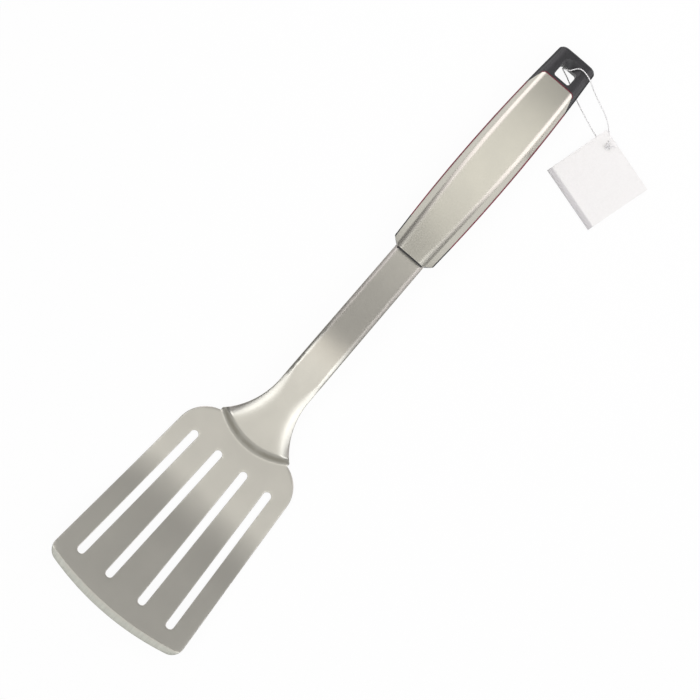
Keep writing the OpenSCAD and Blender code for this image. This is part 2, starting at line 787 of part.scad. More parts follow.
module trim_liner() {
    inset = cover_t + liner_t;
    tail = cover_end + end_lip - fit / 2;
    tail_half = crease_half(cover_end) - fit;
    lip_in = [for (x = cover_places)
        let (half = cover_half(x, inset, parting_z - lip_t)) half[len(half) - 1][0]];
    color([0.55, 0.1, 0.15])
    on_handle() {
        intersection() {
            union() {
                handle_skin(cover_places, cover_t + fit / 2, inset, parting_z - lip_t / 2);
                for (side = [-1, 1])
                    translate([0, 0, parting_z - lip_t])
                        linear_extrude(lip_t)
                            polygon(concat(
                                [for (i = [0:grip_rows]) [cover_places[i], side * half_w(cover_places[i])]],
                                [for (i = [grip_rows:-1:0]) [cover_places[i], side * lip_in[i]]]
                            ));
            }
            translate([0, 0, -grip_depth])
                linear_extrude(grip_depth + cover_h)
                    intersection() {
                        union() {
                            cover_plan(-overrun, cover_end);
                            tail_plan(tail, tail_half);
                        }
                        translate([liner_front, -grip_w])
                            square([handle_l, 2 * grip_w]);
                    }
        }
        intersection() {
            handle_skin([cover_end - tail_round_l, tail], 0, inset, parting_z);
            translate([0, 0, parting_z])
                linear_extrude(cover_h + overrun)
                    difference() {
                        tail_plan(tail, tail_half);
                        cover_plan(-overrun, cover_end + fit / 2);
                    }
        }
    }
}

module handle_cover() {
    color("gainsboro")
    on_handle()
        intersection() {
            handle_skin(cover_places, 0, cover_t, parting_z);
            translate([0, 0, parting_z - overrun])
                linear_extrude(cover_h - parting_z + 2 * overrun)
                    cover_plan(cover_front, cover_end);
        }
}

module tang_screws() {
    drive_w = screw_d / 4;
    color("darkgray")
    on_handle()
        for (x = screw_places)
            translate([x, 0, 0])
                difference() {
                    union() {
                        translate([0, 0, -sheet_t - screw_l + overrun])
                            cylinder(d = screw_d, h = sheet_t + screw_l - overrun);
                        cylinder(d1 = screw_head_d, d2 = screw_head_d - screw_head_h, h = screw_head_h);
                    }
                    for (turn = [0, 90])
                        rotate(turn)
                            translate([-screw_head_d / 4, -drive_w / 2, screw_head_h / 2])
                                cube([screw_head_d / 2, drive_w, screw_head_h]);
                }
}

// The string: a smooth curve through the points of its route

function curve_point(p, i, t) =
    let (
        n = len(p) - 1,
        a = i > 0 ? p[i - 1] : 2 * p[0] - p[1],
        b = p[i],
        c = p[i + 1],
        d = i + 2 <= n ? p[i + 2] : 2 * p[n] - p[n - 1]
    )
    b + (c - a) * t / 2 + (2 * a - 5 * b + 4 * c - d) * t * t / 2
        + (3 * b - a - 3 * c + d) * t * t * t / 2;
function curve(p, steps) =
    concat([for (i = [0:len(p) - 2]) for (k = [0:steps - 1]) curve_point(p, i, k / steps)], [p[len(p) - 1]]);
function path_direction(path, i) =
    unit(path[min(i + 1, len(path) - 1)] - path[max(i - 1, 0)]);
// Side vectors that turn with the path and never twist about it
function side_vectors(path, i = 0, last = [1, 0, 0]) =
    i >= len(path) ? [] :
    let (t = path_direction(path, i), side = unit(last - t * (last * t)))
    concat([side], side_vectors(path, i + 1, side));

module tube(path, d, sides) {
    side = side_vectors(path);
    n = len(path);
    points = [for (i = [0:n - 1]) let (t = path_direction(path, i), up = cross(t, side[i]))
        for (k = [0:sides - 1])
            path[i] + (side[i] * cos(360 * k / sides) + up * sin(360 * k / sides)) * d / 2];
    walls = [for (i = [0:n - 2]) for (k = [0:sides - 1])
        let (a = i * sides + k, b = i * sides + (k + 1) % sides)
        each [[a, a + sides, b], [b, a + sides, b + sides]]];
    caps = [[for (k = [0:sides - 1]) k], [for (k = [sides - 1:-1:0]) (n - 1) * sides + k]];
    polyhedron(points, concat(walls, caps), convexity = 10);
}

module tag_string() {
    color("white")
    tube(curve(string_route, route_steps), string_d, string_sides);
}

module string_knot() {
    ends = [string_route[0], string_route[len(string_route) - 1]];
    turn_r = knot_h / 4;
    color("white")
    translate((ends[0] + ends[1]) / 2)
        rotate_extrude() {
            square([knot_d / 2 - turn_r, knot_h]);
            for (z = [turn_r, knot_h - turn_r])
                translate([knot_d / 2 - turn_r, z])
                    circle(turn_r);
        }
}

module tag_hole() {
    translate([tag_hole_x, tag_hole_y, -overrun])
        cylinder(d = tag_hole_d, h = tag_t + 2 * overrun);
}

// The end view of the folded card, drawn in by the inset
module tag_section(inset) {
    r = tag_t / 2;
    translate([r, r])
        circle(r - inset);
    translate([r, inset])
        square([tag_w - r, tag_t - 2 * inset]);
}

module tag_cover() {
    color("white")
    on_tag()
        difference() {
            translate([0, tag_h, 0])
                rotate([90, 0, 0])
                    linear_extrude(tag_h)
                        difference() {
                            tag_section(0);
                            tag_section(card_t);
                            translate([tag_w - overrun, card_t])
                                square([2 * overrun, tag_t - 2 * card_t]);
                        }
            tag_hole();
        }
}

module tag_leaves() {
    pitch = (tag_t - 2 * card_t) / leaf_count;
    gap = pitch / 4;
    color("whitesmoke")
    on_tag()
        difference() {
            union() {
                for (i = [0:leaf_count - 1])
                    translate([tag_t / 2, fit, card_t + pitch * i])
                        cube([tag_w - tag_t / 2 - fit, tag_h - 2 * fit, pitch - gap]);
                translate([tag_t / 2, fit, card_t])
                    cube([tag_t / 2, tag_h - 2 * fit, tag_t - 2 * card_t - gap]);
            }
            tag_hole();
        }
}

turner_head();
handle_body();
trim_liner();
handle_cover();
tang_screws();
tag_string();
string_knot();
tag_cover();
tag_leaves();
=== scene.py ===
"""The finished look of a slotted steel turner with a steel-covered handle and a blank tag.

Sizes are in millimetres, but those of the camera, the floor and the soft boxes are in metres. A
shape is worked out in the tool's own frame, the handle's or the tag's, and is then laid at rest in
the model's frame.
"""
import math

import bpy
import numpy as np
from mathutils import Matrix, Vector
from mathutils.geometry import delaunay_2d_cdt


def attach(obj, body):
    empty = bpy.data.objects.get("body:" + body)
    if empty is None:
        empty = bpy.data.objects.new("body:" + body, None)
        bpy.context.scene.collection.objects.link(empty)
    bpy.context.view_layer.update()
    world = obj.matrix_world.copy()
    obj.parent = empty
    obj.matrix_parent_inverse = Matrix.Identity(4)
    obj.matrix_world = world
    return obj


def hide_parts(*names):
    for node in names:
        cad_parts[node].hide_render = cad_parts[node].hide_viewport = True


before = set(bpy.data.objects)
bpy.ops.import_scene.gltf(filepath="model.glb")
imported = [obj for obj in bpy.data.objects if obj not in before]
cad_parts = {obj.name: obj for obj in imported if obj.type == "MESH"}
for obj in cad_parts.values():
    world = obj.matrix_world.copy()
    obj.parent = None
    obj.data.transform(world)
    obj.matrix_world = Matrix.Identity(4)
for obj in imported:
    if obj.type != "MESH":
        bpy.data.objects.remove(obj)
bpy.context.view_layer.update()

MM = 0.001

# The stamped head
SHEET_T = 1.5
BLADE_L = 105
FRONT_HALF = 41
REAR_HALF = 34.3
FRONT_EDGE_R = 150
FRONT_CORNER_R = 7
REAR_CORNER_R = 17
BEND_START = 56
BEND_L = 22
BEND_ANGLE = math.radians(9)
BEVEL_W = 3.9
BEVEL_R = 170
BEVEL_HALF = 39.2
EDGE_T = 0.4
SLOT_W = 4.2
SLOT_ENDS = (16.3, 94.0)
SLOT_SHARES = ((-0.7, -0.682), (-0.255, -0.237), (0.255, 0.237), (0.7, 0.682))
STEP_H = 3
STEP_L = 4.4
STEP_R = 33
NECK_HALF = 21.5
FLARE_R = 39
NECK_ANGLE = math.radians(17)
NECK_L = 45
ARCH_L = 28
SHANK_ANGLE = math.radians(4.5)
SHANK_L = 47.3
SHANK_HALF = 9.05
SHANK_END_HALF = 8.65
NECK_ROLL_W = 14
NECK_ROLL_H = 2.2
SHANK_ROLL_W = 2.2
SHANK_ROLL_H = 1
TANG_L = 88
TANG_HALF = 6.5
TANG_HOLE_R = 2.1
SCREW_PLACES = (18, 76)
FRONT_WALL = 6
HEAD_RIM_R = 0.28
REAR_CORNER_GAP = 1
ROLL_PAST_EDGE = 0.3

# The handle
HANDLE_L = 128.3
GRIP_HALF = 13.8
WIDEST_X = 56
SIDE_FALL = 3.1
GRIP_DEPTH = 10
BELLY_FALL = 2.65
PARTING_Z = -1
NOSE_HALF = 7.8
CHAMFER_L = 3.7
LOOP_L = 16.3
COVER_T = 0.8
COVER_H = 6
CREASE_HALF = 10.4
CREASE_WIDEST_X = 70
CREASE_FALL = 2.2
BACK_FALL = 3.95
CREASE_R = 2.4
COVER_CROWN = 0.4
COVER_FRONT = 0.6
RAKE_L = 8.4
REVEAL = 0.45
END_LIP = 0.4
TAIL_ROUND_L = 1.6
CROWN_SHARE = 0.68
COVER_RIM_R, COVER_RIM_SHY = 0.2, 0.06
WELD_REACH = 0.002
FLAT_ANGLE, BROKEN_ANGLE, SHARP_ANGLE = (math.radians(a) for a in (1, 32, 34))

# The tag and its string
STRING_D = 0.65
STRING_LAY = 2.4
STRING_STEP = 0.22
PLY_R_SHARE = 0.31
PLY_SHIFT_SHARE = 0.18
PULLED_THIN = 0.92
KNOT_PLACE = (154.55, -38.6, 4.5)
KNOT_SIZE = 0.42
KNOT_TAILS = [
    [(0.5, 0.3, 0.2), (1.3, 0.9, 0.3), (2.2, 1.2, 0.0), (3.1, 1.1, -0.3)],
    [(0.3, -0.4, 0.2), (0.9, -1.2, 0.2), (1.8, -1.9, -0.1), (2.3, -2.9, -0.3)],
]
LOOSE_FIT = 0.3
FIT = 0.1
TAG_W = 35
TAG_H = 35.5
TAG_T = 2.4
CARD_T = 0.3
TAG_HOLE = (30.4, 28.2)
TAG_HOLE_R = 1.2
FOLD_GRID_W = 2.2
# Painted shade of the card's rounded fold: how far the grey band reaches beyond the fold, and how
# wide it fades
FOLD_SHADE_W, FOLD_SHADE_FADE_W = 2, 0.8
LEAF_COUNT = 6
LEAF_T_SHARE = 0.72
LEAF_FOLD_GAP, LEAF_END_GAP, LEAF_SIDE_GAP = 0.2, 0.3, 0.25
LEAF_LIFT = 0.02
TAG_PLACE = (117.9, -57.9)
TAG_TURN = math.radians(-15)
STRING_ROUTE = [
    (154.1, -38.6, 3.6), (154.1, -38.6, 2.1), (154.1, -38.4, 1.3), (154.1, -37.8, 0.7),
    (154.2, -36.8, 0.5), (154.8, -33.8, 0.5), (156, -29.4, 0.5), (158, -23.8, 0.5),
    (160.2, -18.2, 0.5), (162.4, -13, 0.5), (164.6, -8.4, 0.6), (166.6, -4.4, 0.8),
    (168.2, -1, 1.2), (169, 1.4, 2), (169.3, 2.9, 3.6), (169.3, 3.2, 5.4),
    (169.3, 2.4, 6.9), (169.6, 0.9, 7.9), (170.4, -0.5, 8.6), (171.6, -1.4, 9.2),
    (172.8, -2.5, 10.2), (173.6, -4, 10.9), (173.7, -6.2, 10.9), (173.3, -8.5, 10.5),
    (172.7, -10.8, 9.5), (172.2, -12.3, 7.6), (171.8, -13.7, 5.4), (171.2, -15.7, 3.2),
    (170.3, -18.3, 1.5), (169, -21.5, 0.7), (167.6, -25, 0.5), (165.9, -28.4, 0.5),
    (163.8, -31.6, 0.5), (161.2, -34.4, 0.5), (158.6, -36.4, 0.5), (156.4, -37.8, 0.5),
    (155.7, -38.2, 0.7), (155.2, -38.5, 1.3), (155, -38.6, 2.1), (155, -38.6, 3.6),
]


# Nodes, and numbers that are worked out in a node tree or in plain Python alike

def connect(tree, slot, value):
    """Links a slot to a node, a socket or a number of the tree, or gives it a plain value."""
    if isinstance(value, bpy.types.Node):
        value = value.outputs[0]
    if isinstance(value, Number):
        value = value.socket
    if isinstance(value, bpy.types.NodeSocket):
        tree.links.new(value, slot)
    else:
        slot.default_value = value


def add_node(tree, kind, settings=None, **inputs):
    """A new node with its settings, and its inputs by their names."""
    node = tree.nodes.new(kind)
    for key, value in (settings or {}).items():
        setattr(node, key, value)
    for key, value in inputs.items():
        connect(tree, node.inputs[key.replace("_", " ")], value)
    return node


def fill(tree, node, *values):
    """The node with its first inputs set in their order."""
    for slot, value in zip(node.inputs, values):
        connect(tree, slot, value)
    return node


class Number:
    """A number inside a node tree, which adds, multiplies and so on as a plain one does."""

    def __init__(self, tree, socket):
        self.tree, self.socket = tree, socket

    def step(self, operation, *others):
        node = add_node(self.tree, "ShaderNodeMath", {"operation": operation})
        return Number(self.tree, fill(self.tree, node, self, *others).outputs[0])

    def __add__(self, other): return self.step("ADD", other)
    def __sub__(self, other): return self.step("SUBTRACT", other)
    def __mul__(self, other): return self.step("MULTIPLY", other)
    def __truediv__(self, other): return self.step("DIVIDE", other)
    def __rsub__(self, other): return self * -1 + other
    __radd__, __rmul__ = __add__, __mul__


def worked(plain, operation):
    """A function of one or two numbers, plain or in a node tree."""
    def function(*values):
        numbers = [v for v in values if isinstance(v, Number)]
        if not numbers:
            return plain(*values)
        first, *others = values if isinstance(values[0], Number) else values[::-1]
        return first.step(operation, *others)
    return function


sine, cosine = worked(math.sin, "SINE"), worked(math.cos, "COSINE")
tangent, root = worked(math.tan, "TANGENT"), worked(math.sqrt, "SQRT")
smaller, larger = worked(min, "MINIMUM"), worked(max, "MAXIMUM")
size_of = worked(abs, "ABSOLUTE")


def square(value):
    return value * value


def between(value, low, high):
    return larger(smaller(value, high), low)


def mix(a, b, share):
    return a + (b - a) * share


def arc_drop(distance, radius):
    """How far a circle falls away at a distance from its top."""
    return radius - root(square(radius) - square(distance))


# The pressed form of the head, as heights of the top of the sheet

def arc_rise(x, start, length, angle_from, angle_to):
    """Height gained along a bend and the straight beyond it."""
    share = between((x - start) / length, 0, 1)
    low, high = sine(angle_from), sine(angle_to)
    steep = low + (high - low) * share
    bend = length * (cosine(angle_from) - root(1 - square(steep))) / (high - low)
    return bend + tangent(angle_to) * larger(x - start - length, 0)


def blade_height(x, s):
    return s["Sheet"] + arc_rise(x, s["Bend start"], s["Bend length"], 0, s["Bend angle"])


def spine_height(x, s):
    arch = s["Blade length"] + s["Neck length"]
    neck = tangent(s["Neck angle"]) * smaller(x - s["Blade length"], s["Neck length"])
    bend = arc_rise(x, arch, s["Arch length"], s["Neck angle"], s["Shank angle"])
    return blade_height(s["Blade length"], s) + s["Step height"] + neck + bend


def head_height(x, y, s):
    """Height of the head's top at a place on the flat sheet."""
    side = size_of(y)
    neck_x = s["Blade length"] + arc_drop(s["Neck half"], s["Step radius"])
    flare_y = s["Flare radius"] - s["Neck half"] + s["Shank half"]
    flare_l = root(square(s["Flare radius"]) - square(flare_y))
    flare_end = neck_x + flare_l
    arch = s["Blade length"] + s["Neck length"]
    handle_x = arch + s["Arch length"] + s["Shank length"]
    flare_x = between(flare_end - x, 0, flare_l)
    down_shank = between((x - flare_end) / (handle_x - flare_end), 0, 1)
    shank = mix(s["Shank half"], s["Shank end half"], down_shank)
    half = shank + arc_drop(flare_x, s["Flare radius"])
    band = mix(s["Neck roll"], s["Shank roll"], between((x - neck_x) / (arch - neck_x), 0, 1))
    along = between((x - neck_x) / flare_l, 0, 1)
    depth = mix(s["Neck roll depth"], s["Shank roll depth"], along)
    fall = 1 - sine(between((half - side) / band, -ROLL_PAST_EDGE, 1) * (math.pi / 2))
    neck = spine_height(x, s) - depth * fall * mix(fall, 1, along)
    foot = s["Blade length"] + square(side) / (2 * s["Step radius"])
    ease = (1 - cosine(between((x - foot) / s["Step length"], 0, 1) * math.pi)) / 2
    return mix(blade_height(x, s), neck, ease)


HEAD_SIZES = {
    "Sheet": SHEET_T, "Blade length": BLADE_L, "Bend start": BEND_START, "Bend length": BEND_L,
    "Bend angle": BEND_ANGLE, "Step height": STEP_H, "Step length": STEP_L, "Step radius": STEP_R,
    "Neck half": NECK_HALF, "Flare radius": FLARE_R, "Neck angle": NECK_ANGLE,
    "Neck length": NECK_L, "Arch length": ARCH_L, "Shank angle": SHANK_ANGLE,
    "Shank length": SHANK_L, "Shank half": SHANK_HALF, "Shank end half": SHANK_END_HALF,
    "Neck roll": NECK_ROLL_W, "Neck roll depth": NECK_ROLL_H, "Shank roll": SHANK_ROLL_W,
    "Shank roll depth": SHANK_ROLL_H,
}


def fall_radius(fall, x):
    """Radius of a circle that falls away so far between its top at x and the handle's end."""
    return ((HANDLE_L - x) ** 2 + fall ** 2) / (2 * fall)


SIDE_R, BELLY_R = fall_radius(SIDE_FALL, WIDEST_X), fall_radius(BELLY_FALL, WIDEST_X)
BACK_R, CREASE_SIDE_R = fall_radius(BACK_FALL, WIDEST_X), fall_radius(CREASE_FALL, CREASE_WIDEST_X)

# Centres of the blade's rounded corners
NEAR_Y = FRONT_HALF - FRONT_CORNER_R
NEAR = (FRONT_EDGE_R - math.sqrt((FRONT_EDGE_R - FRONT_CORNER_R) ** 2 - NEAR_Y ** 2), NEAR_Y)
NECK_X = BLADE_L + arc_drop(NECK_HALF, STEP_R)
FAR = (NECK_X - REAR_CORNER_GAP - REAR_CORNER_R, REAR_HALF - REAR_CORNER_R)

# How the turner lies: the line that touches the underside of the bend and the handle's belly
FLARE_L = math.sqrt(FLARE_R ** 2 - (FLARE_R - NECK_HALF + SHANK_HALF) ** 2)
FLARE_END = NECK_X + FLARE_L
ARCH_END = BLADE_L + NECK_L + ARCH_L
HANDLE_X = ARCH_END + SHANK_L
HANDLE_Z = spine_height(HANDLE_X, HEAD_SIZES)
BEND_R = BEND_L / math.sin(BEND_ANGLE)
BEND_CENTRE = Vector((BEND_START, SHEET_T + BEND_R))
BELLY_CENTRE = Vector((
    HANDLE_X + WIDEST_X * math.cos(SHANK_ANGLE) - (BELLY_R - GRIP_DEPTH) * math.sin(SHANK_ANGLE),
    HANDLE_Z + WIDEST_X * math.sin(SHANK_ANGLE) + (BELLY_R - GRIP_DEPTH) * math.cos(SHANK_ANGLE),
))
CENTRE_GAP = BELLY_CENTRE - BEND_CENTRE
REST_TILT = (math.atan2(CENTRE_GAP.y, CENTRE_GAP.x)
             + math.asin((SHEET_T + BEND_R - BELLY_R) / CENTRE_GAP.length))
REST_LIFT = (math.sin(REST_TILT) * BEND_CENTRE.x - math.cos(REST_TILT) * BEND_CENTRE.y
             + SHEET_T + BEND_R)
TOTAL_L = (HANDLE_X * math.cos(REST_TILT) + HANDLE_Z * math.sin(REST_TILT)
           + HANDLE_L * math.cos(REST_TILT - SHANK_ANGLE))
TAG_TILT = math.asin((STRING_D + 2 * LOOSE_FIT - FIT) / TAG_HOLE[0])

TO_METRES = Matrix.Scale(MM, 4)
AT_REST = (TO_METRES @ Matrix.Translation((-TOTAL_L / 2, 0, REST_LIFT))
           @ Matrix.Rotation(REST_TILT, 4, "Y"))
ON_HANDLE = (AT_REST @ Matrix.Translation((HANDLE_X, 0, HANDLE_Z))
             @ Matrix.Rotation(-SHANK_ANGLE, 4, "Y"))
ON_TAG = (TO_METRES @ Matrix.Translation((*TAG_PLACE, 0)) @ Matrix.Rotation(TAG_TURN, 4, "Z")
          @ Matrix.Rotation(-TAG_TILT, 4, "Y"))


# Camera, floor and light

LENS, SENSOR_W = 94.2, 36
CAMERA_PLACE = (-0.0028, -0.0076, 0.9)
PICTURE_RIGHT, PICTURE_UP = (0.6512, -0.7589, 0), (0.7589, 0.6512, 0)
FLOOR_HALF = 3.0
FLOOR_WHITE = 0.95

# The room's level, how steeply it darkens toward a side, and how much of it each side loses
ROOM_LEVEL = 0.4
SIDE_STEEP, SIDE_START = 2.5, 0.5
LEFT_LOSS, RIGHT_LOSS = 0.5, 0.3

# Each soft box's name, lower and upper corner, facing, level and tint
SOFT_BOXES = [
    ("over_blade_end", (-1.8, -1.9, 3), (-0.46, 1.9, 3), (0, 0, -1), 0.88, (1, 0.985, 0.95)),
    ("over_bend", (-0.041, -0.05, 0.15), (-0.009, 0.05, 0.15), (0, 0, -1), 0.6, (1, 0.93, 0.84)),
    ("over_handle", (0.084, -0.1, 0.25), (0.243, 0.1, 0.25), (0, 0, -1), 0.78, (1, 0.985, 0.94)),
    ("left_of_neck", (-0.6, 0.5, 0.6), (-0.1, 0.5, 1.6), (0, -1, 0), 2.1, (0.95, 0.97, 1)),
    ("right_of_neck", (-0.6, -0.5, 0.3), (-0.04, -0.5, 1.6), (0, 1, 0), 1.9, (0.95, 0.97, 1)),
    ("left_of_handle", (0.16, 0.5, 0.03), (0.65, 0.5, 1.2), (0, -1, 0), 1.8, (1, 0.945, 1)),
    ("right_of_handle", (0.17, -0.5, 0.03), (0.65, -0.5, 1.2), (0, 1, 0), 1.8, (1, 0.945, 1)),
    ("beyond_blade", (-0.8, -0.6, 0), (-0.8, 0.6, 1.1), (1, 0, 0), 0.32, (1, 1, 0.97)),
]


def placed(name, data):
    """A new object in the scene."""
    thing = bpy.data.objects.new(name, data)
    bpy.context.scene.collection.objects.link(thing)
    return thing


def aim_camera():
    """Straight down above the picture's middle, turned so that the handle points up right."""
    lens = bpy.data.cameras.new("overhead")
    lens.lens, lens.sensor_width = LENS, SENSOR_W
    camera = placed("overhead", lens)
    right, up = Vector(PICTURE_RIGHT), Vector(PICTURE_UP)
    turn = Matrix((right, up, right.cross(up))).transposed().to_4x4()
    camera.matrix_world = Matrix.Translation(CAMERA_PLACE) @ turn
    bpy.context.scene.camera = camera


class Finish:
    """A material and short ways to add and wire its nodes."""

    def __init__(self, name):
        self.material = bpy.data.materials.new(name)
        self.material.use_nodes = True
        self.tree = self.material.node_tree
        self.shader = self.tree.nodes["Principled BSDF"]
        self.result = self.tree.nodes["Material Output"]

    def add(self, kind, settings=None, **inputs):
        return add_node(self.tree, kind, settings, **inputs)

    def surface(self, **inputs):
        for key, value in inputs.items():
            connect(self.tree, self.shader.inputs[key.replace("_", " ")], value)

    def noise(self, scale, detail, rough, stretch=(1, 1, 1)):
        """Noise on object coordinates in metres, stretched by a scale."""
        where = self.add("ShaderNodeTexCoord")
        place = self.add("ShaderNodeMapping", Vector=where.outputs["Object"], Scale=stretch)
        return self.add("ShaderNodeTexNoise", Vector=place, Scale=scale, Detail=detail,
                        Roughness=rough)

    def spread(self, value, low, high, to_low, to_high):
        """A value's range from low to high laid over another range."""
        ends = {"From Min": low, "From Max": high, "To Min": to_low, "To Max": to_high}
        return self.add("ShaderNodeMapRange", Value=value, **ends)

    def blend(self, share, a, b):
        """Colour a where the share is 0 and b where it is 1."""
        node = self.add("ShaderNodeMix", {"data_type": "RGBA"})
        for number, value in ((0, share), (6, a), (7, b)):
            connect(self.tree, node.inputs[number], value)
        return node.outputs[2]

    def patches(self, noise, low, high, a, b):
        """Colour a where the noise is low and b where it is high."""
        return self.blend(self.spread(noise, low, high, 0, 1), a, b)

    def marked(self, attribute, a, b):
        """Colour a, and b where an attribute of the mesh is 1."""
        mark = self.add("ShaderNodeAttribute", {"attribute_name": attribute})
        return self.blend(mark.outputs["Fac"], a, b)

    def bumps(self, height, strength, depth):
        bump = self.add("ShaderNodeBump", Strength=strength, Distance=depth, Height=height)
        self.surface(Normal=bump)


def pale_floor():
    """A plain pale floor that shows white and keeps the turner's shadow."""
    mesh = bpy.data.meshes.new("floor")
    corners = [(-1, -1, 0), (1, -1, 0), (1, 1, 0), (-1, 1, 0)]
    mesh.from_pydata([Vector(corner) * FLOOR_HALF for corner in corners], [], [(0, 1, 2, 3)])
    floor = placed("floor", mesh)
    paint = Finish("pale_floor")
    paint.surface(Base_Color=(0.87, 0.87, 0.87, 1), Roughness=0.9)
    rays = paint.add("ShaderNodeLightPath")
    seen = Number(paint.tree, rays.outputs["Is Camera Ray"])
    seen = larger(seen, Number(paint.tree, rays.outputs["Is Glossy Ray"]))
    seen = larger(seen, Number(paint.tree, rays.outputs["Is Transmission Ray"]))
    glow = paint.add("ShaderNodeEmission", Color=(1, 1, 1, 1))
    both = paint.add("ShaderNodeMixShader")
    fill(paint.tree, both, seen * FLOOR_WHITE, paint.shader, glow)
    fill(paint.tree, paint.result, both)
    mesh.materials.append(paint.material)


def soft_light():
    """A pale room, darker at both sides, with soft boxes overhead and all round."""
    world = bpy.data.worlds.new("studio")
    bpy.context.scene.world = world
    world.use_nodes = True
    tree = world.node_tree
    where = add_node(tree, "ShaderNodeTexCoord")
    apart = add_node(tree, "ShaderNodeSeparateXYZ", Vector=where.outputs["Generated"])
    left = between(Number(tree, apart.outputs["Y"]) * SIDE_STEEP - SIDE_START, 0, 1)
    right = between(Number(tree, apart.outputs["Y"]) * -SIDE_STEEP - SIDE_START, 0, 1)
    room = ROOM_LEVEL - left * (ROOM_LEVEL * LEFT_LOSS) - right * (ROOM_LEVEL * RIGHT_LOSS)
    rays = add_node(tree, "ShaderNodeLightPath")
    seen = Number(tree, rays.outputs["Is Camera Ray"])
    fill(tree, tree.nodes["Background"], (1, 0.995, 0.985, 1), mix(room, 1.0, seen))
    for name, low, high, facing, level, tint in SOFT_BOXES:
        lamp = bpy.data.lights.new(name, "AREA")
        box = placed(name, lamp)
        low, high = Vector(low), Vector(high)
        box.location = (low + high) / 2
        box.rotation_euler = Vector(facing).to_track_quat("-Z", "Y").to_euler()
        turned = box.rotation_euler.to_matrix()
        lamp.shape = "RECTANGLE"
        lamp.size, lamp.size_y = (abs((high - low).dot(turned.col[i])) for i in (0, 1))
        lamp.energy = level * math.pi * lamp.size * lamp.size_y
        lamp.color = tint
        box.visible_camera = False


# Finishes

# How often brushed lines change across and along them, to the metre
LINES_ACROSS, LINES_ALONG = 5200.0, 40.0


def shaded(colour, share):
    """A colour made darker or lighter by a share."""
    return tuple(min(1.0, c * share) for c in colour[:3]) + (1,)


def brushed_steel(name, tint, dark_tint, along, rough, ground_tint=None):
    """Satin steel with fine lines along one direction and faint clouds of tint. Where the
    attribute ground is 1 it has a ground edge's tint and coarser lines."""
    steel = Finish(name)
    stretch = [LINES_ACROSS] * 3
    stretch[along] = LINES_ALONG
    lines = steel.noise(scale=1.0, detail=3.0, rough=0.6, stretch=stretch)
    clouds = steel.noise(scale=38.0, detail=3.0, rough=0.55)
    colour = steel.patches(clouds, 0.35, 0.65, tint, dark_tint)
    if ground_tint:
        marks = steel.noise(scale=1.0, detail=2.0, rough=0.6, stretch=(40, 1500, 40))
        edge = steel.patches(marks, 0.35, 0.65, ground_tint, shaded(ground_tint, 0.88))
        colour = steel.marked("ground", colour, edge)
    steel.surface(Metallic=1.0, Base_Color=colour,
                  Roughness=steel.spread(lines, 0.25, 0.75, rough - 0.015, rough + 0.015))
    steel.bumps(lines, strength=0.03, depth=0.00001)
    return steel.material


def moulded_plastic(name, colour, rough, grain):
    """Moulded plastic with a fine spark-eroded grain."""
    plastic = Finish(name)
    grains = plastic.noise(scale=grain, detail=2.0, rough=0.7)
    dust = plastic.noise(scale=160.0, detail=4.0, rough=0.6)
    plastic.surface(Base_Color=plastic.patches(dust, 0.35, 0.7, colour, shaded(colour, 1.35)),
                    Specular_IOR_Level=0.45,
                    Roughness=plastic.spread(grains, 0.3, 0.7, rough - 0.06, rough + 0.08))
    plastic.bumps(grains, strength=0.35, depth=0.00003)
    return plastic.material


def paper_card(name, colour, rough, fold_shade_colour=None):
    """Coated card with a faint fibre, and a painted shade of its rounded fold: a grey shade colour
    where the attribute fold is 1.
    """
    card = Finish(name)
    fibre = card.noise(scale=900.0, detail=4.0, rough=0.7)
    shade = card.patches(fibre, 0.3, 0.7, colour, shaded(colour, 0.955))
    if fold_shade_colour:
        shade = card.marked("fold", shade, fold_shade_colour)
    card.surface(Base_Color=shade, Roughness=rough, Specular_IOR_Level=0.3)
    card.bumps(fibre, strength=0.2, depth=0.00003)
    return card.material


def cotton(name, colour):
    """White cotton yarn."""
    yarn = Finish(name)
    fluff = yarn.noise(scale=5200.0, detail=3.0, rough=0.7)
    yarn.surface(Base_Color=yarn.patches(fluff, 0.3, 0.7, colour, shaded(colour, 0.9)),
                 Roughness=0.85, Sheen_Weight=0.3)
    yarn.bumps(fluff, strength=0.5, depth=0.00006)
    return yarn.material


STEEL_HEAD = brushed_steel("head_steel", (0.55, 0.532, 0.482, 1), (0.512, 0.496, 0.45, 1),
                           along=0, rough=0.3, ground_tint=(0.545, 0.55, 0.505, 1))
STEEL_COVER = brushed_steel("cover_steel", (0.595, 0.577, 0.508, 1), (0.557, 0.541, 0.48, 1),
                            along=0, rough=0.3)
STEEL_SCREW = brushed_steel("screw_steel", (0.55, 0.55, 0.55, 1), (0.5, 0.5, 0.49, 1),
                            along=2, rough=0.35)
BLACK_PLASTIC = moulded_plastic("body_plastic", (0.024, 0.024, 0.026, 1), rough=0.42, grain=2600.0)
RED_PLASTIC = moulded_plastic("liner_plastic", (0.18, 0.019, 0.04, 1), rough=0.35, grain=1800.0)
# The tag card's grey fold colour is a painted shade of its rounded fold
CARD = paper_card("tag_card", (0.87, 0.865, 0.85, 1), rough=0.45,
                  fold_shade_colour=(0.58, 0.57, 0.575, 1))
PAPER = paper_card("tag_paper", (0.78, 0.78, 0.76, 1), rough=0.7)
COTTON = cotton("string", (0.8, 0.8, 0.8, 1))


# Meshes

# Where the head's sheet gets points, as two corners and a spacing
HEAD_GRIDS = [
    ((0, -42), (100, 42), 1.9), ((100, -23), (126, 23), 0.6), ((100, 23), (112, 42), 1.6),
    ((100, -42), (112, -23), 1.6), ((126, -16), (158, 16), 0.8),
    ((158, -10), (HANDLE_X + 8, 10), 1.1), ((HANDLE_X + 8, -7), (HANDLE_X + TANG_L, 7), 3),
]
NO_POINTS = np.zeros((0, 2))

# Twice the area of a triangle too small to keep, and a step between points of a crease at the most
SLIVER, CREASE_STEP = 1e-3, 2.5

# How far a round's middle stays back from both its sides, as a share of its radius
ROUND_SHARE = 0.293


def smooth(mesh):
    for face in mesh.polygons:
        face.use_smooth = True


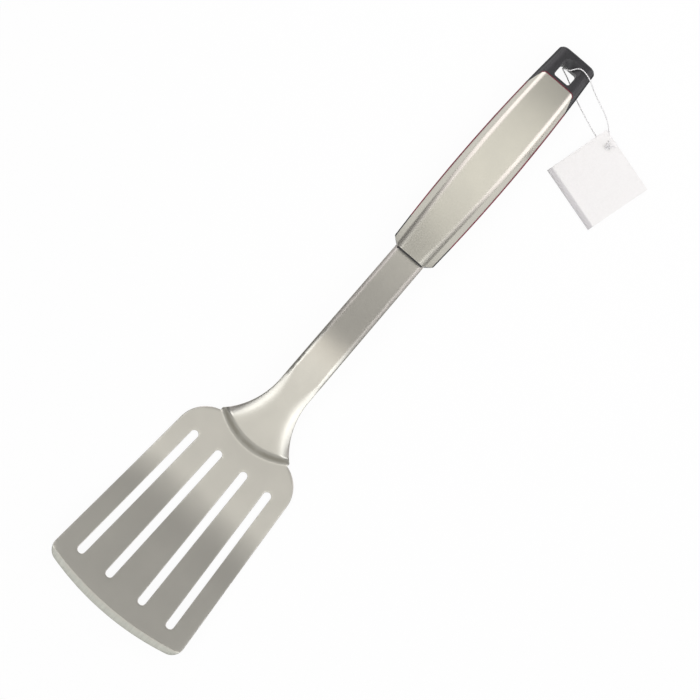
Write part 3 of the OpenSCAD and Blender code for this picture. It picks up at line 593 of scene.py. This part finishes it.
def new_piece(name, points, faces, place=Matrix()):
    """A smooth piece from its points and faces."""
    mesh = bpy.data.meshes.new(name)
    mesh.from_pydata([tuple(p) for p in points], [], [tuple(int(i) for i in f) for f in faces])
    mesh.transform(place)
    mesh.update()
    smooth(mesh)
    return placed(name, mesh)


def keep(mesh, name, values):
    """Keeps a value for each point as an attribute of the mesh."""
    attribute = mesh.attributes.new(name, "FLOAT", "POINT")
    attribute.data.foreach_set("value", values.astype(np.float32))


def kept(mesh, name):
    """The values that the mesh keeps for its points."""
    values = np.zeros(len(mesh.vertices), np.float32)
    mesh.attributes[name].data.foreach_get("value", values)
    return values


def evaluated(piece):
    """The mesh that the piece's modifiers make."""
    graph = bpy.context.evaluated_depsgraph_get()
    graph.update()
    return bpy.data.meshes.new_from_object(piece.evaluated_get(graph), depsgraph=graph)


def finished(piece):
    """The piece with its modifiers applied."""
    mesh = evaluated(piece)
    piece.modifiers.clear()
    piece.data = mesh
    mesh.name = piece.name
    return piece


def faces_lead(piece):
    """The piece with normals that follow its larger faces."""
    weigh = piece.modifiers.new("faces lead", "WEIGHTED_NORMAL")
    weigh.keep_sharp = True
    return finished(piece)


def arc(centre, radius, turn_from, turn_to, step):
    """Points of an arc, its last one left out."""
    count = max(2, int(abs(turn_to - turn_from) * radius / step))
    turns = np.linspace(turn_from, turn_to, count + 1)[:-1]
    return np.stack([centre[0] + radius * np.cos(turns), centre[1] + radius * np.sin(turns)], 1)


def straight(a, b, step):
    """Points of a line, its last one left out."""
    a, b = np.array(a, float), np.array(b, float)
    count = max(1, int(np.linalg.norm(b - a) / step))
    return a + (b - a) * (np.arange(count) / count)[:, None]


def head_outline():
    """The stamped outline of the head, anticlockwise."""
    gap = (FAR[0] - NEAR[0], FAR[1] - NEAR[1])
    lean = (math.atan2(gap[1], gap[0])
            + math.acos((FRONT_CORNER_R - REAR_CORNER_R) / math.hypot(*gap)))
    start = math.atan2(NEAR[1], NEAR[0] - FRONT_EDGE_R)
    toward = np.array((math.cos(lean), math.sin(lean)))
    meet = math.asin((NECK_HALF - FAR[1]) / REAR_CORNER_R)
    notch = (FAR[0] + REAR_CORNER_R * math.cos(meet), NECK_HALF)
    hollow = (FLARE_END, SHANK_HALF + FLARE_R)
    flare = math.atan2(NECK_HALF - hollow[1], NECK_X - hollow[0])
    shoulder, tang_end = HANDLE_X + FRONT_WALL, HANDLE_X + TANG_L
    corners = [(FLARE_END, SHANK_HALF), (HANDLE_X, SHANK_END_HALF), (shoulder, SHANK_END_HALF),
               (shoulder + 1, TANG_HALF), (tang_end - TANG_HALF, TANG_HALF),
               (tang_end, TANG_HALF / 2), (tang_end, 0)]
    half = np.concatenate([
        arc((FRONT_EDGE_R, 0), FRONT_EDGE_R, math.pi, start, 0.9),
        arc(NEAR, FRONT_CORNER_R, start, lean, 0.5),
        straight(NEAR + FRONT_CORNER_R * toward, FAR + REAR_CORNER_R * toward, 1.2),
        arc(FAR, REAR_CORNER_R, lean, meet, 0.7),
        straight(notch, (NECK_X, NECK_HALF), 0.5),
        arc(hollow, FLARE_R, flare, -math.pi / 2, 0.7),
        *[straight(a, b, 1.0) for a, b in zip(corners, corners[1:])],
        [(tang_end, 0)],
    ])
    other = half[1:-1][::-1] * (1, -1)
    return np.concatenate([half, other])[::-1]


def slot_outline(share_front, share_rear):
    """A slot, clockwise."""
    ends = []
    for x, share in zip(SLOT_ENDS, (share_front, share_rear)):
        half = mix(FRONT_HALF, REAR_HALF, (x - NEAR[0]) / (FAR[0] - NEAR[0]))
        ends.append(np.array((x, share * half)))
    a, b = ends
    turn = math.atan2(b[1] - a[1], b[0] - a[0])
    r, quarter = SLOT_W / 2, math.pi / 2
    out = np.array((-math.sin(turn), math.cos(turn))) * r
    loop = np.concatenate([
        arc(a, r, turn + quarter, turn + 3 * quarter, 0.35), straight(a - out, b - out, 1.2),
        arc(b, r, turn - quarter, turn + quarter, 0.35), straight(b + out, a + out, 1.2),
    ])
    return loop[::-1]


def rectangle(low, high, step):
    """The outline of a rectangle, anticlockwise."""
    corners = [low, (high[0], low[1]), high, (low[0], high[1]), low]
    return np.concatenate([straight(a, b, step) for a, b in zip(corners, corners[1:])])


def drawn_in(loop, distance):
    """The loop moved into the sheet, which lies to its left."""
    def unit(v):
        return v / np.maximum(np.linalg.norm(v, axis=1), 1e-9)[:, None]
    before, after = unit(loop - np.roll(loop, 1, 0)), unit(np.roll(loop, -1, 0) - loop)
    left_before = np.stack([-before[:, 1], before[:, 0]], 1)
    left_after = np.stack([-after[:, 1], after[:, 0]], 1)
    middle = unit(left_before + left_after)
    stretch = 1 / np.maximum((middle * left_before).sum(1), 0.6)
    return loop + middle * (distance * stretch)[:, None]


def inside(points, loop):
    """Whether each point lies inside a loop."""
    x, y = points[:, 0][:, None], points[:, 1][:, None]
    x0, y0 = loop[:, 0], loop[:, 1]
    x1, y1 = np.roll(x0, -1), np.roll(y0, -1)
    crosses = (y0 > y) != (y1 > y)
    with np.errstate(divide="ignore", invalid="ignore"):
        at = x0 + (y - y0) * (x1 - x0) / (y1 - y0)
    return (crosses & (x < at)).sum(1) % 2 == 1


def grid(low, high, step):
    """Points of a triangular grid over a rectangle."""
    xs = np.arange(low[0], high[0], step)
    ys = np.arange(low[1], high[1], step * 0.87)
    x, y = np.meshgrid(xs, ys)
    x = x + (np.arange(len(ys)) % 2)[:, None] * step / 2
    return np.stack([x.ravel(), y.ravel()], 1)


def in_sheet(points, loops):
    """Whether each point lies inside the first loop and outside the others."""
    good = inside(points, loops[0])
    for loop in loops[1:]:
        good &= ~inside(points, loop)
    return good


def nearest(points, others):
    """Each point's distance to the nearest of the others, worked out some hundreds at a time."""
    return np.concatenate([
        np.sqrt(((points[i:i + 500, None] - others[None]) ** 2).sum(2)).min(1)
        for i in range(0, len(points), 500)
    ])


def filled(loops, points, crease):
    """A sheet's points, those of its loops first, and the triangles that fill it, facing up."""
    edges, start = [], 0
    for loop in loops:
        edges += [(start + i, start + (i + 1) % len(loop)) for i in range(len(loop))]
        start += len(loop)
    edges += [(start + i, start + i + 1) for i in range(len(crease) - 1)]
    everything = np.concatenate([*loops, crease, points])
    out = delaunay_2d_cdt([Vector(p) for p in everything], edges, [], 0, 1e-7, False)
    flat, faces = np.array([tuple(v) for v in out[0]]), np.array(out[2])
    faces = faces[in_sheet(flat[faces].mean(1), loops)]
    a, b, c = (flat[faces[:, corner]] for corner in range(3))
    area = np.cross(b - a, c - a)
    faces[area < 0] = faces[area < 0][:, ::-1]
    return flat, faces[np.abs(area) > SLIVER]


def beside(rings):
    """Neighbours on closed rings: two corners of a ring, and the two beside them on the next."""
    for one, other in zip(rings, rings[1:]):
        for i in range(len(one)):
            j = (i + 1) % len(one)
            yield one[i], one[j], other[i], other[j]


def level_top(points):
    """The drop of a sheet whose top is whole."""
    return np.zeros(len(points))


def flat_sheet(name, loops, points, thickness, rim_r, clear, drop=level_top, crease=NO_POINTS):
    """A flat closed sheet with rounded rims, its outer loop first. Each point keeps in the
    attribute below its depth under the top, and in ground whether the top is ground off there. The
    crease is a line of points where the top breaks."""
    tops = [drop(loop) for loop in loops]
    radii = [np.minimum(rim_r, (thickness - top) / 3) for top in tops]
    inner = [drawn_in(loop, r) for loop, r in zip(loops, radii)]
    points = points[nearest(points, np.concatenate([*inner, crease])) > clear]
    flat, faces = filled(inner, points[in_sheet(points, inner)], crease)
    total = len(flat)
    depth_top = drop(flat)
    spots = [np.column_stack([flat, depth]) for depth in (depth_top, np.full(total, thickness))]
    faces = [*faces, *(faces[:, ::-1] + total)]
    base, start = 2 * total, 0
    for loop, top, r in zip(loops, tops, radii):
        n = len(loop)
        shy = r * ROUND_SHARE
        rings = [start + np.arange(n)]
        for back, depth in ((shy, top + shy), (0 * r, top + r), (0 * r, thickness - r),
                            (shy, thickness - shy)):
            spots.append(np.column_stack([drawn_in(loop, back), depth]))
            rings.append(base + np.arange(n))
            base += n
        rings.append(total + start + np.arange(n))
        faces += [(a, c, d, b) for a, b, c, d in beside(rings)]
        start += n
    spots = np.concatenate(spots)
    piece = new_piece(name, [(x, y, 0) for x, y, _ in spots], faces)
    mesh = piece.data
    keep(mesh, "below", spots[:, 2])
    keep(mesh, "ground", np.concatenate([depth_top > 1e-4, np.zeros(len(spots) - total)]))
    on_line = {tuple(np.round(p, 4)) for p in crease}
    line = {i for i in range(total) if tuple(np.round(flat[i], 4)) in on_line}
    for edge in mesh.edges:
        a, b = edge.vertices
        if a in line and b in line and abs(flat[a][1] - flat[b][1]) < CREASE_STEP:
            edge.use_edge_sharp = True
    return piece


# Trees of geometry nodes

def new_tree(name, takes, gives):
    """A tree with its named inputs and its one output, and the nodes at its two ends."""
    tree = bpy.data.node_groups.new(name, "GeometryNodeTree")
    sockets = [*(("INPUT", *item) for item in takes.items()), ("OUTPUT", *gives)]
    for direction, socket_name, kind in sockets:
        tree.interface.new_socket(socket_name, in_out=direction, socket_type="NodeSocket" + kind)
    return tree, add_node(tree, "NodeGroupInput"), add_node(tree, "NodeGroupOutput")


def hand_over(tree, shape, given, result):
    """Ends a tree with its shape made real and in the finish that the tree is given."""
    real = add_node(tree, "GeometryNodeRealizeInstances", Geometry=shape)
    dress = add_node(tree, "GeometryNodeSetMaterial", Geometry=real,
                     Material=given.outputs["Finish"])
    fill(tree, result, dress)


def add_tree(piece, tree, values):
    """Puts a tree on a piece, with values for its inputs by their names."""
    modifier = piece.modifiers.new(tree.name, "NODES")
    modifier.node_group = tree
    for item in tree.interface.items_tree:
        if item.item_type == "SOCKET" and item.in_out == "INPUT" and item.name in values:
            modifier[item.identifier] = values[item.name]


def head_form():
    """A node group that gives the height of the head's top at x and y, from its sizes."""
    takes = dict.fromkeys(("X", "Y", *HEAD_SIZES), "Float")
    tree, given, result = new_tree("head_form", takes, ("Height", "Float"))
    numbers = {name: Number(tree, given.outputs[name]) for name in takes}
    fill(tree, result, head_height(numbers["X"], numbers["Y"], numbers))
    return tree


def press(piece, material):
    """Presses the flat sheet into the head's form with a tree of nodes, and lays it at rest."""
    form = head_form()
    takes = {"Sheet metal": "Geometry", **dict.fromkeys(HEAD_SIZES, "Float"), "Finish": "Material"}
    tree, given, result = new_tree("press_sheet", takes, ("Head", "Geometry"))
    where = add_node(tree, "GeometryNodeInputPosition")
    apart = add_node(tree, "ShaderNodeSeparateXYZ", Vector=where)
    x, y = (Number(tree, apart.outputs[i]) for i in (0, 1))
    attribute = add_node(tree, "GeometryNodeInputNamedAttribute", {"data_type": "FLOAT"},
                         Name="below")
    below = Number(tree, attribute.outputs["Attribute"])

    def height(x, y):
        sizes = {name: given.outputs[name] for name in HEAD_SIZES}
        node = add_node(tree, "GeometryNodeGroup", {"node_tree": form}, X=x, Y=y, **sizes)
        return Number(tree, node.outputs[0])

    reach = 0.05
    slope_x = (height(x + reach, y) - height(x - reach, y)) / (2 * reach)
    slope_y = (height(x, y + reach) - height(x, y - reach)) / (2 * reach)
    length = root(square(slope_x) + square(slope_y) + 1)
    spot = fill(tree, add_node(tree, "ShaderNodeCombineXYZ"), x + below * slope_x / length,
                y + (below - HEAD_RIM_R) * slope_y / length, height(x, y) - below / length)
    pressed = add_node(tree, "GeometryNodeSetPosition", Geometry=given.outputs["Sheet metal"],
                       Position=spot)
    hand_over(tree, pressed, given, result)
    add_tree(piece, tree, {**HEAD_SIZES, "Finish": material})
    finished(piece)
    piece.data.transform(AT_REST)
    return faces_lead(piece)


def bevel_depth(points):
    """How much the front edge's grinding takes off the top."""
    far = np.hypot(points[:, 0] - BEVEL_W - BEVEL_R, points[:, 1])
    return np.clip((far - BEVEL_R) * (SHEET_T - EDGE_T) / BEVEL_W, 0, SHEET_T - EDGE_T)


def make_head():
    """The stamped and pressed head, ground along its front edge."""
    slots = [slot_outline(*shares) for shares in SLOT_SHARES]
    holes = [arc((HANDLE_X + x, 0), TANG_HOLE_R, 2 * math.pi, 0, 0.4) for x in SCREW_PLACES]
    line_y = np.linspace(-BEVEL_HALF, BEVEL_HALF, 73)
    line = np.stack([BEVEL_W + BEVEL_R - np.sqrt(BEVEL_R ** 2 - line_y ** 2), line_y], 1)
    points = np.concatenate([grid(*part) for part in HEAD_GRIDS])
    piece = flat_sheet("slotted_head", [head_outline(), *slots, *holes], points, SHEET_T,
                       HEAD_RIM_R, clear=0.45, drop=bevel_depth, crease=line)
    return press(piece, STEEL_HEAD)


# The handle

def half_w(x):
    """Half the width of the handle."""
    return GRIP_HALF - arc_drop(x - WIDEST_X, SIDE_R)


def crease_half(x):
    """Half the width between the cover's creases."""
    return CREASE_HALF - arc_drop(x - CREASE_WIDEST_X, CREASE_SIDE_R)


def back_z(x):
    """Height of the cover's back."""
    return COVER_H - arc_drop(x - WIDEST_X, BACK_R)


def round_corner(a, b, c, reach, steps):
    """Points of a rounded corner at b."""
    a, b, c = (np.array(v, float) for v in (a, b, c))
    p = b + (a - b) / np.linalg.norm(a - b) * reach
    q = b + (c - b) / np.linalg.norm(c - b) * reach
    t = np.linspace(0, 1, steps + 1)[:, None]
    return (1 - t) ** 2 * p + 2 * t * (1 - t) * b + t ** 2 * q


def cover_half(x):
    """Half a section of the cover's outside, from its middle to its edge, in as many points
    everywhere."""
    crease = np.array((crease_half(x), back_z(x) - COVER_CROWN))
    edge = np.array((half_w(x) - REVEAL, PARTING_Z))
    shares = np.linspace(0, CROWN_SHARE, 13)
    crown = np.stack([crease[0] * shares, crease[1] + COVER_CROWN * (1 - shares ** 2)], 1)
    corner = round_corner(crown[-1], crease, edge, CREASE_R, 10)
    return np.concatenate([crown, corner, [edge]])


def cover_reach(y):
    """Where the cover starts and ends at a distance from its middle."""
    y = abs(y)
    cut = (CHAMFER_L - COVER_FRONT) / (half_w(CHAMFER_L) - NOSE_HALF)
    start = COVER_FRONT + max(0, y - NOSE_HALF) * cut
    end, rake = HANDLE_L - LOOP_L - END_LIP, HANDLE_L - LOOP_L - RAKE_L
    tail, hip = crease_half(end), half_w(rake) - REVEAL
    rounding = round_corner((end, 0), (end, tail), (rake, hip), TAIL_ROUND_L, 24)
    if y > rounding[-1][1]:
        stop = end - (y - tail) * (end - rake) / (hip - tail)
    else:
        stop = float(np.interp(y, rounding[:, 1], rounding[:, 0]))
    return start, stop


def cover_surface(rows):
    """Points of the cover's outside, in rows from its front to its rear end."""
    spans = []
    for k in range(len(cover_half(WIDEST_X))):
        start, stop = COVER_FRONT, HANDLE_L - LOOP_L
        for _ in range(12):
            start = cover_reach(cover_half(start)[k][0])[0]
            stop = cover_reach(cover_half(stop)[k][0])[1]
        spans.append((start, stop))
    surface = []
    for i in range(rows + 1):
        places = [mix(start, stop, i / rows) for start, stop in spans]
        half = [(x, *cover_half(x)[k]) for k, x in enumerate(places)]
        surface.append([(x, -y, z) for x, y, z in half[::-1]] + half[1:])
    return np.array(surface)


def make_cover():
    """The pressed steel cover, its front corners cut off and its rear corners raked."""
    rows = 72
    points = cover_surface(rows)
    across = points.shape[1]
    faces = [(a, a + across, a + across + 1, a + 1)
             for i in range(rows) for a in range(i * across, (i + 1) * across - 1)]
    normal = np.cross(np.gradient(points, axis=0), np.gradient(points, axis=1))
    normal /= np.linalg.norm(normal, axis=2)[:, :, None]
    border = ([(0, j) for j in range(across)] + [(i, across - 1) for i in range(1, rows + 1)]
              + [(rows, j) for j in range(across - 2, -1, -1)]
              + [(i, 0) for i in range(rows - 1, 0, -1)])
    edge, up = (np.array([field[spot] for spot in border]) for field in (points, normal))
    out = np.cross(up, np.roll(edge, -1, 0) - np.roll(edge, 1, 0))
    out /= np.linalg.norm(out, axis=1)[:, None]
    shy = COVER_RIM_SHY
    rings = [edge - out * back - up * deep for back, deep in
             ((shy, shy), (0, COVER_RIM_R), (0, COVER_T - COVER_RIM_R), (shy, COVER_T - shy))]
    for spot, start, way in zip(border, edge, out):
        points[spot] = start - way * COVER_RIM_R
    inner = points - normal * COVER_T
    total, count = (rows + 1) * across, len(border)
    faces += [tuple(v + total for v in face[::-1]) for face in faces]
    outer_rim = [i * across + j for i, j in border]
    bands = [range(2 * total + k * count, 2 * total + (k + 1) * count) for k in range(len(rings))]
    bands = [outer_rim, *bands, [total + v for v in outer_rim]]
    faces += [(a, b, d, c) for a, b, c, d in beside(bands)]
    points = np.concatenate([points.reshape(-1, 3), inner.reshape(-1, 3), *rings])
    piece = new_piece("steel_cover", points, faces, ON_HANDLE)
    top = normal.reshape(-1, 3)
    normals = np.concatenate([top, -top, out + up, out, out, out - up])
    turn = ON_HANDLE.to_3x3()
    mesh = piece.data
    mesh.normals_split_custom_set_from_vertices([(turn @ Vector(n)).normalized() for n in normals])
    mesh.materials.append(STEEL_COVER)
    return piece


def softened_copy(node, name, material, width):
    """A copy of a rigid piece of the frame with its edges broken and its curves smooth."""
    piece = placed(name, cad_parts[node].data.copy())
    mesh = piece.data
    mesh.materials.clear()
    mesh.materials.append(material)
    for face in mesh.polygons:
        face.material_index = 0
    smooth(mesh)
    weld = piece.modifiers.new("weld", "WELD")
    weld.merge_threshold = WELD_REACH * MM
    finished(piece)
    flat = piece.modifiers.new("flat faces", "DECIMATE")
    flat.decimate_type, flat.angle_limit = "DISSOLVE", FLAT_ANGLE
    rim = piece.modifiers.new("rims", "BEVEL")
    rim.width, rim.segments = width * MM, 2
    rim.limit_method, rim.angle_limit = "ANGLE", BROKEN_ANGLE
    finished(piece)
    piece.data.set_sharp_from_angle(angle=SHARP_ANGLE)
    return faces_lead(piece)


# The string, its knot and the tag

def smooth_route(route, steps):
    """A smooth curve through the points of a route."""
    p = np.array(route, float)
    ends = np.concatenate([[2 * p[0] - p[1]], p, [2 * p[-1] - p[-2]]])
    points = []
    for i in range(len(p) - 1):
        a, b, c, d = ends[i:i + 4]
        for k in range(steps):
            t = k / steps
            points.append(b + (c - a) * t / 2 + (2 * a - 5 * b + 4 * c - d) * t * t / 2
                          + (3 * b - a - 3 * c + d) * t ** 3 / 2)
    return np.array(points + [p[-1]])


def twist_tree():
    """A tree that lays two plies round a curve and gives them thickness."""
    takes = {"Route": "Geometry", "Diameter": "Float", "Lay": "Float", "Step": "Float",
             "Finish": "Material"}
    tree, given, result = new_tree("twisted_string", takes, ("String", "Geometry"))
    diameter, lay = Number(tree, given.outputs["Diameter"]), Number(tree, given.outputs["Lay"])
    points = add_node(tree, "GeometryNodeResampleCurve", {"mode": "LENGTH"},
                      Curve=given.outputs["Route"], Length=given.outputs["Step"])
    run = Number(tree, add_node(tree, "GeometryNodeSplineParameter").outputs["Length"])
    turn = run / lay * (2 * math.pi)
    along, side = (add_node(tree, "GeometryNodeInput" + kind) for kind in ("Tangent", "Normal"))
    up = add_node(tree, "ShaderNodeVectorMath", {"operation": "CROSS_PRODUCT"})
    fill(tree, up, along, side)
    circle = add_node(tree, "GeometryNodeCurvePrimitiveCircle", Resolution=7,
                      Radius=diameter * PLY_R_SHARE)
    plies = add_node(tree, "GeometryNodeJoinGeometry")
    for ply in (0, 1):
        around = turn + math.pi * ply
        shifts = [add_node(tree, "ShaderNodeVectorMath", {"operation": "SCALE"}, Vector=way,
                           Scale=amount * diameter * PLY_SHIFT_SHARE)
                  for way, amount in ((side, cosine(around)), (up, sine(around)))]
        shift = add_node(tree, "ShaderNodeVectorMath", {"operation": "ADD"})
        fill(tree, shift, *shifts)
        ply_line = add_node(tree, "GeometryNodeSetPosition", Geometry=points, Offset=shift)
        skin = add_node(tree, "GeometryNodeCurveToMesh", Curve=ply_line, Profile_Curve=circle,
                        Fill_Caps=True)
        fill(tree, plies, skin)
    hand_over(tree, plies, given, result)
    return tree


TWIST = twist_tree()


def twisted(name, routes, diameter):
    """Twisted string along each of the routes, which are points in metres."""
    curve = bpy.data.curves.new(name + "_route", "CURVE")
    curve.dimensions = "3D"
    for route, closed in routes:
        spline = curve.splines.new("POLY")
        spline.points.add(len(route) - 1)
        for point, place in zip(spline.points, route):
            point.co = (*place, 1)
        spline.use_cyclic_u = closed
    guide = placed(name + "_route", curve)
    add_tree(guide, TWIST, {"Diameter": diameter, "Lay": STRING_LAY * MM, "Step": STRING_STEP * MM,
                            "Finish": COTTON})
    mesh = evaluated(guide)
    bpy.data.objects.remove(guide)
    mesh.name = name
    smooth(mesh)
    return placed(name, mesh)


def make_knot():
    """An overhand knot pulled small on the tag's face, with two short tails."""
    turns = np.linspace(0, 2 * math.pi, 90, endpoint=False)
    knot = KNOT_SIZE * np.stack([np.sin(turns) + 2 * np.sin(2 * turns),
                                 np.cos(turns) - 2 * np.cos(2 * turns), -np.sin(3 * turns)], 1)
    routes = [((knot + KNOT_PLACE) * MM, True)]
    routes += [((smooth_route(tail, 6) + KNOT_PLACE) * MM, False) for tail in KNOT_TAILS]
    return twisted("string_knot_turns", routes, STRING_D * PULLED_THIN * MM)


def make_card():
    """The folded card: two faces and a rounded fold, with a hole punched through both."""
    middle = (TAG_T - CARD_T) / 2
    face = TAG_W - TAG_T / 2
    fold = math.pi * middle
    width = 2 * face + fold
    near, far = face - FOLD_GRID_W, face + fold + FOLD_GRID_W
    holes = [arc((s, TAG_HOLE[1]), TAG_HOLE_R, 2 * math.pi, 0, 0.25)
             for s in (TAG_W - TAG_HOLE[0], width - TAG_W + TAG_HOLE[0])]
    points = np.concatenate([grid((0, 0), (near, TAG_H), 2.2), grid((near, 0), (far, TAG_H), 0.45),
                             grid((far, 0), (width, TAG_H), 2.2)])
    loop = rectangle((0, 0), (width, TAG_H), 1.0)
    piece = flat_sheet("tag_card", [loop, *holes], points, CARD_T, rim_r=0.05, clear=0.3)
    mesh = piece.data
    place = np.array([vertex.co.x for vertex in mesh.vertices])
    # Painted shade: the fold attribute marks a grey band over the rounded fold and a little beyond
    # it, fading at its sides
    painted_fold_shade = (fold / 2 + FOLD_SHADE_W - np.abs(place - face - fold / 2)) / FOLD_SHADE_FADE_W
    keep(mesh, "fold", np.clip(painted_fold_shade, 0, 1))
    for vertex, below in zip(mesh.vertices, kept(mesh, "below")):
        s, y = vertex.co.x, vertex.co.y
        r = middle + CARD_T / 2 - below
        if s < face:
            x, z = TAG_W - s, TAG_T / 2 + r
        elif s < face + fold:
            turn = (s - face) / middle
            x, z = TAG_T / 2 - r * math.sin(turn), TAG_T / 2 + r * math.cos(turn)
        else:
            x, z = TAG_T / 2 + s - face - fold, TAG_T / 2 - r
        vertex.co = (x, y, z)
    mesh.flip_normals()
    mesh.transform(ON_TAG)
    mesh.materials.append(CARD)
    mesh.attributes.remove(mesh.attributes["below"])
    return piece


def make_leaves():
    """The leaves inside the card, a tree of nodes laying copies of one leaf."""
    pitch = (TAG_T - 2 * CARD_T) / LEAF_COUNT
    leaf_t = pitch * LEAF_T_SHARE
    left, right = TAG_T / 2 + LEAF_FOLD_GAP, TAG_W - LEAF_END_GAP
    loop = rectangle((left, LEAF_SIDE_GAP), (right, TAG_H - LEAF_SIDE_GAP), 1.2)
    hole = arc(TAG_HOLE, TAG_HOLE_R, 2 * math.pi, 0, 0.3)
    piece = flat_sheet("tag_pages", [loop, hole], grid((left, 0), (right, TAG_H), 3.0), leaf_t,
                       rim_r=0.03, clear=0.3)
    mesh = piece.data
    for vertex, below in zip(mesh.vertices, kept(mesh, "below")):
        vertex.co.z = leaf_t - below
    takes = {"Page": "Geometry", "Pages": "Int", "Pitch": "Float", "First": "Float",
             "Finish": "Material"}
    tree, given, result = new_tree("stack_of_pages", takes, ("Stack", "Geometry"))
    pitch_up, first_up = (add_node(tree, "ShaderNodeCombineXYZ", Z=given.outputs[name])
                          for name in ("Pitch", "First"))
    line = add_node(tree, "GeometryNodeMeshLine", Count=given.outputs["Pages"], Offset=pitch_up,
                    Start_Location=first_up)
    jitter = add_node(tree, "FunctionNodeRandomValue", {"data_type": "FLOAT_VECTOR"},
                      Min=(-0.16, -0.14, 0), Max=(0.2, 0.14, 0), Seed=4)
    shifted = add_node(tree, "GeometryNodeSetPosition", Geometry=line, Offset=jitter)
    laid = add_node(tree, "GeometryNodeInstanceOnPoints", Points=shifted,
                    Instance=given.outputs["Page"])
    hand_over(tree, laid, given, result)
    add_tree(piece, tree, {"Pages": LEAF_COUNT, "Pitch": pitch, "First": CARD_T + LEAF_LIFT,
                           "Finish": PAPER})
    finished(piece)
    piece.data.transform(ON_TAG)
    return piece


aim_camera()
pale_floor()
soft_light()

route = smooth_route(STRING_ROUTE, 6) * MM
cord = twisted("tag_cord", [(route, False)], STRING_D * MM)
knot = make_knot()
head = make_head()
cover = make_cover()
body = softened_copy("handle_body", "handle_moulding", BLACK_PLASTIC, 0.3)
liner = softened_copy("trim_liner", "red_liner", RED_PLASTIC, 0.1)
card = make_card()
pages = make_leaves()
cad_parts["tang_screws"].data.materials.clear()
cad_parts["tang_screws"].data.materials.append(STEEL_SCREW)

for piece, node, slot in (
    (cord, "tag_string", "string"), (knot, "string_knot", "string"),
    (head, "turner_head", "head_steel"), (cover, "handle_cover", "cover_steel"),
    (body, "handle_body", "body_plastic"), (liner, "trim_liner", "liner_plastic"),
    (card, "tag_cover", "tag_card"), (pages, "tag_leaves", "tag_paper"),
):
    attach(piece, "root")
    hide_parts(node)

scene = bpy.context.scene
scene.view_settings.view_transform = "Standard"
